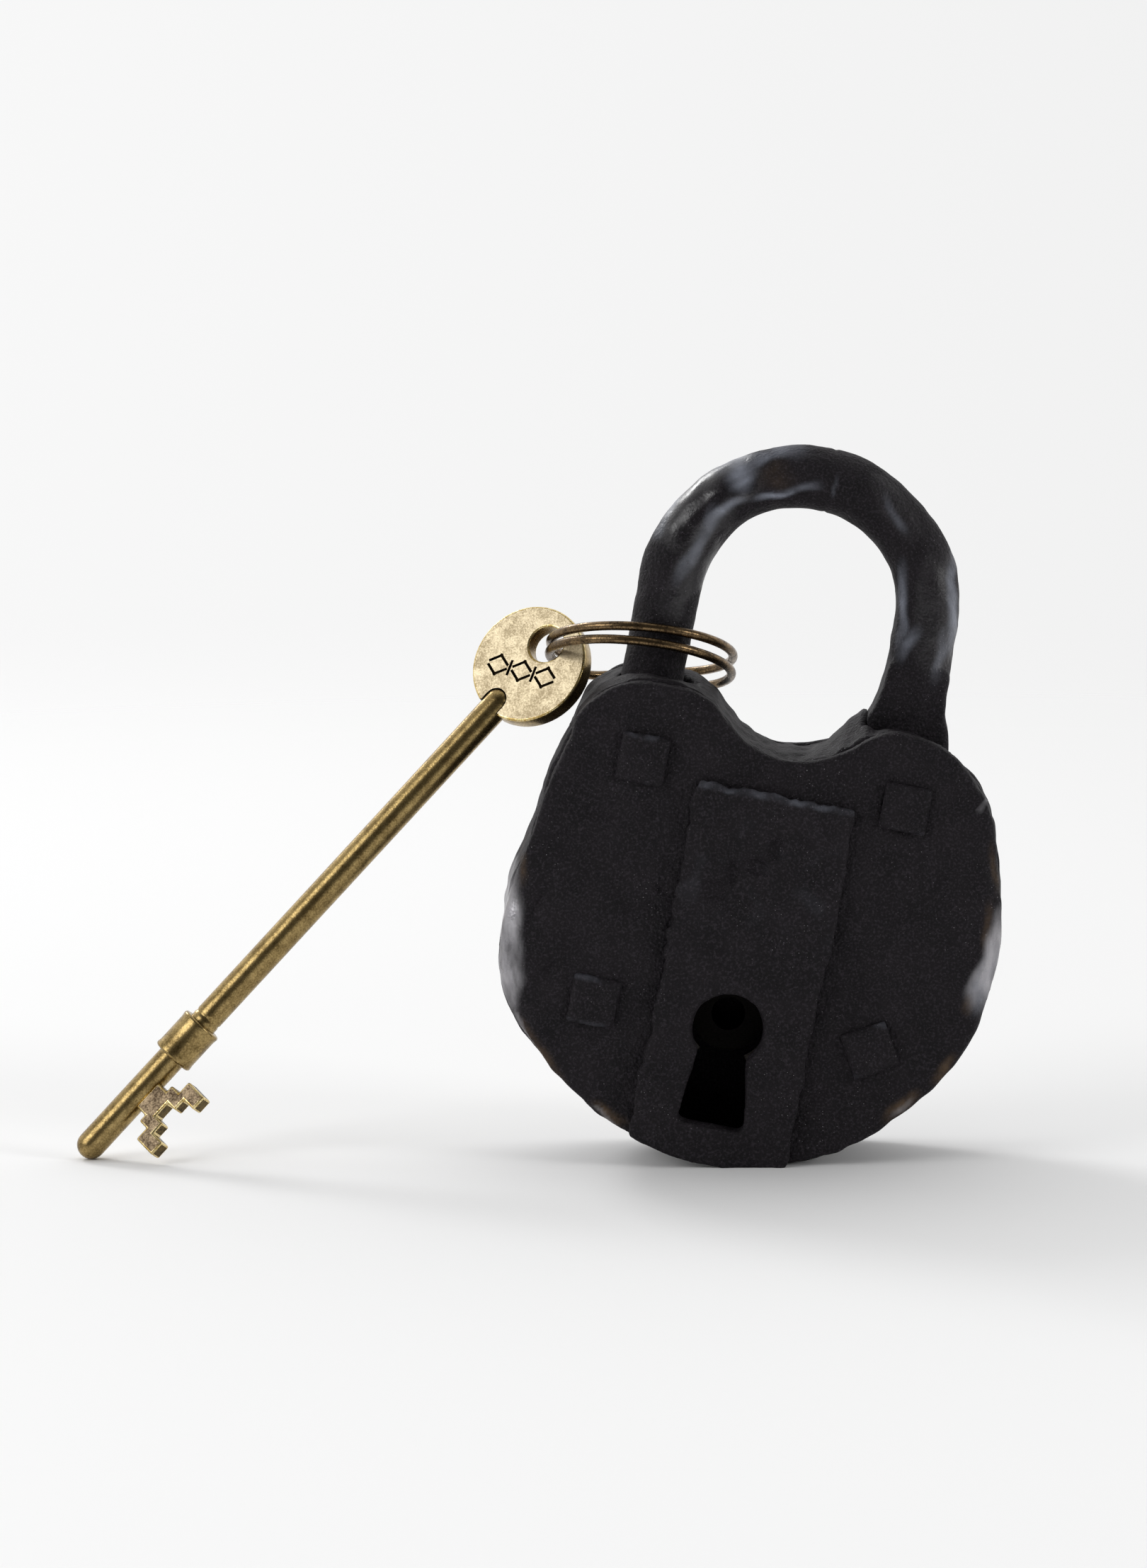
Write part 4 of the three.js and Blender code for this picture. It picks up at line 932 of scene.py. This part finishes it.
class PADLOCK_OT_stage(bpy.types.Operator):
    """Sets out the white floor, the pale air, the three softboxes and the camera"""
    bl_idname = "padlock.stage"
    bl_label = "Stage, lights and camera"

    def execute(self, context):
        bm = bmesh.new()
        bmesh.ops.create_grid(bm, x_segments=1, y_segments=1, size=4)
        mesh = mesh_of("studio_floor", bm)
        link("studio_floor", mesh)
        # White studio paper: quite matt, and it fades into the pale air well away from the lock
        material, tree = blank_material("Matt white studio paper")
        paper = add(tree, "ShaderNodeBsdfPrincipled", {
            "Base Color": context.scene.padlock_colours.floor, "Roughness": 0.9, "Specular IOR Level": 0.1})
        clear = add(tree, "ShaderNodeBsdfTransparent")
        at = add(tree, "ShaderNodeTexCoord").outputs["Object"]
        far = add(tree, "ShaderNodeVectorMath", {0: at}, operation="LENGTH")
        fade = add(tree, "ShaderNodeMapRange", {
            "Value": far.outputs["Value"], "From Min": 0.2, "From Max": 0.75}, interpolation_type="SMOOTHSTEP")
        mix = add(tree, "ShaderNodeMixShader", {0: fade.outputs[0], 1: paper.outputs[0], 2: clear.outputs[0]})
        add(tree, "ShaderNodeOutputMaterial", {"Surface": mix.outputs[0]})
        mesh.materials.append(material)

        # The air is pale to the camera, a little paler at the left. To the lock it is dim in front, where the studio
        # is dark, and bright behind.
        world = bpy.data.worlds.new("studio_air")
        context.scene.world = world
        world.use_nodes = True
        tree = world.node_tree
        tree.nodes.clear()
        path = add(tree, "ShaderNodeLightPath")
        way = add(tree, "ShaderNodeTexCoord").outputs["Generated"]
        parts = add(tree, "ShaderNodeSeparateXYZ", {"Vector": way})
        level = add(tree, "ShaderNodeMapRange", {
            "Value": parts.outputs["Y"], "From Min": -0.65, "From Max": 0.5, "To Min": 0.09, "To Max": 1.12},
            interpolation_type="SMOOTHSTEP")
        shade = add(tree, "ShaderNodeMapRange", {
            "Value": parts.outputs["X"], "From Min": -0.12, "From Max": 0.1, "To Min": 0.94, "To Max": 0.87})
        shown = add(tree, "ShaderNodeMix", {
            "Factor": path.outputs["Is Camera Ray"], "A": level.outputs[0], "B": shade.outputs[0]}, data_type="FLOAT")
        air = add(tree, "ShaderNodeBackground", {"Color": (1, 1, 1, 1), "Strength": shown.outputs["Result"]})
        add(tree, "ShaderNodeOutputWorld", {"Surface": air.outputs[0]})

        for name, stand_at, width, watts in LAMPS:
            data = bpy.data.lights.new(name, "AREA")
            data.shape = "SQUARE"
            data.size = width
            data.energy = watts
            lamp = link(name, data)
            lamp.location = stand_at
            lamp.rotation_euler = (LAMPS_AIM - Vector(stand_at)).to_track_quat("-Z", "Y").to_euler()

        data = bpy.data.cameras.new("camera")
        data.lens, data.sensor_width = 163.3, 36
        data.clip_start, data.clip_end = 0.01, 20
        camera = link("camera", data)
        level_part = math.cos(CAMERA_TILT)
        back = Vector((
            math.sin(CAMERA_TURN) * level_part, -math.cos(CAMERA_TURN) * level_part, math.sin(CAMERA_TILT)))
        camera.location = CAMERA_AIM + back * CAMERA_AWAY
        facing = (-back).to_track_quat("-Z", "Y").to_matrix()
        camera.rotation_euler = (facing @ Matrix.Rotation(-CAMERA_ROLL, 3, "Z")).to_euler()
        context.scene.camera = camera
        context.scene.view_settings.view_transform = "Standard"
        return {"FINISHED"}


STEPS = (PADLOCK_OT_plates, PADLOCK_OT_wall, PADLOCK_OT_strap, PADLOCK_OT_rivets, PADLOCK_OT_shackle,
         PADLOCK_OT_inside, PADLOCK_OT_ring, PADLOCK_OT_key, PADLOCK_OT_stage)


class PADLOCK_PT_panel(bpy.types.Panel):
    """Lists the sizes, the colours and the steps that build the padlock"""
    bl_idname = "PADLOCK_PT_panel"
    bl_label = "Padlock"
    bl_space_type = "VIEW_3D"
    bl_region_type = "UI"
    bl_category = "Padlock"

    def draw(self, context):
        for group in (context.scene.padlock_sizes, context.scene.padlock_colours):
            for name in group.__annotations__:
                self.layout.prop(group, name)
        for step in STEPS:
            self.layout.operator(step.bl_idname)


CLASSES = (PadlockSizes, PadlockColours) + STEPS + (PADLOCK_PT_panel,)


def register():
    for cls in CLASSES:
        bpy.utils.register_class(cls)
    bpy.types.Scene.padlock_sizes = PointerProperty(type=PadlockSizes)
    bpy.types.Scene.padlock_colours = PointerProperty(type=PadlockColours)


def unregister():
    del bpy.types.Scene.padlock_sizes
    del bpy.types.Scene.padlock_colours
    for cls in reversed(CLASSES):
        bpy.utils.unregister_class(cls)


def main():
    """Builds every piece and the stage in order."""
    register()
    for step in STEPS:
        group, name = step.bl_idname.split(".")
        getattr(getattr(bpy.ops, group), name)()
    bpy.context.view_layer.update()


if __name__ == "__main__":
    main()
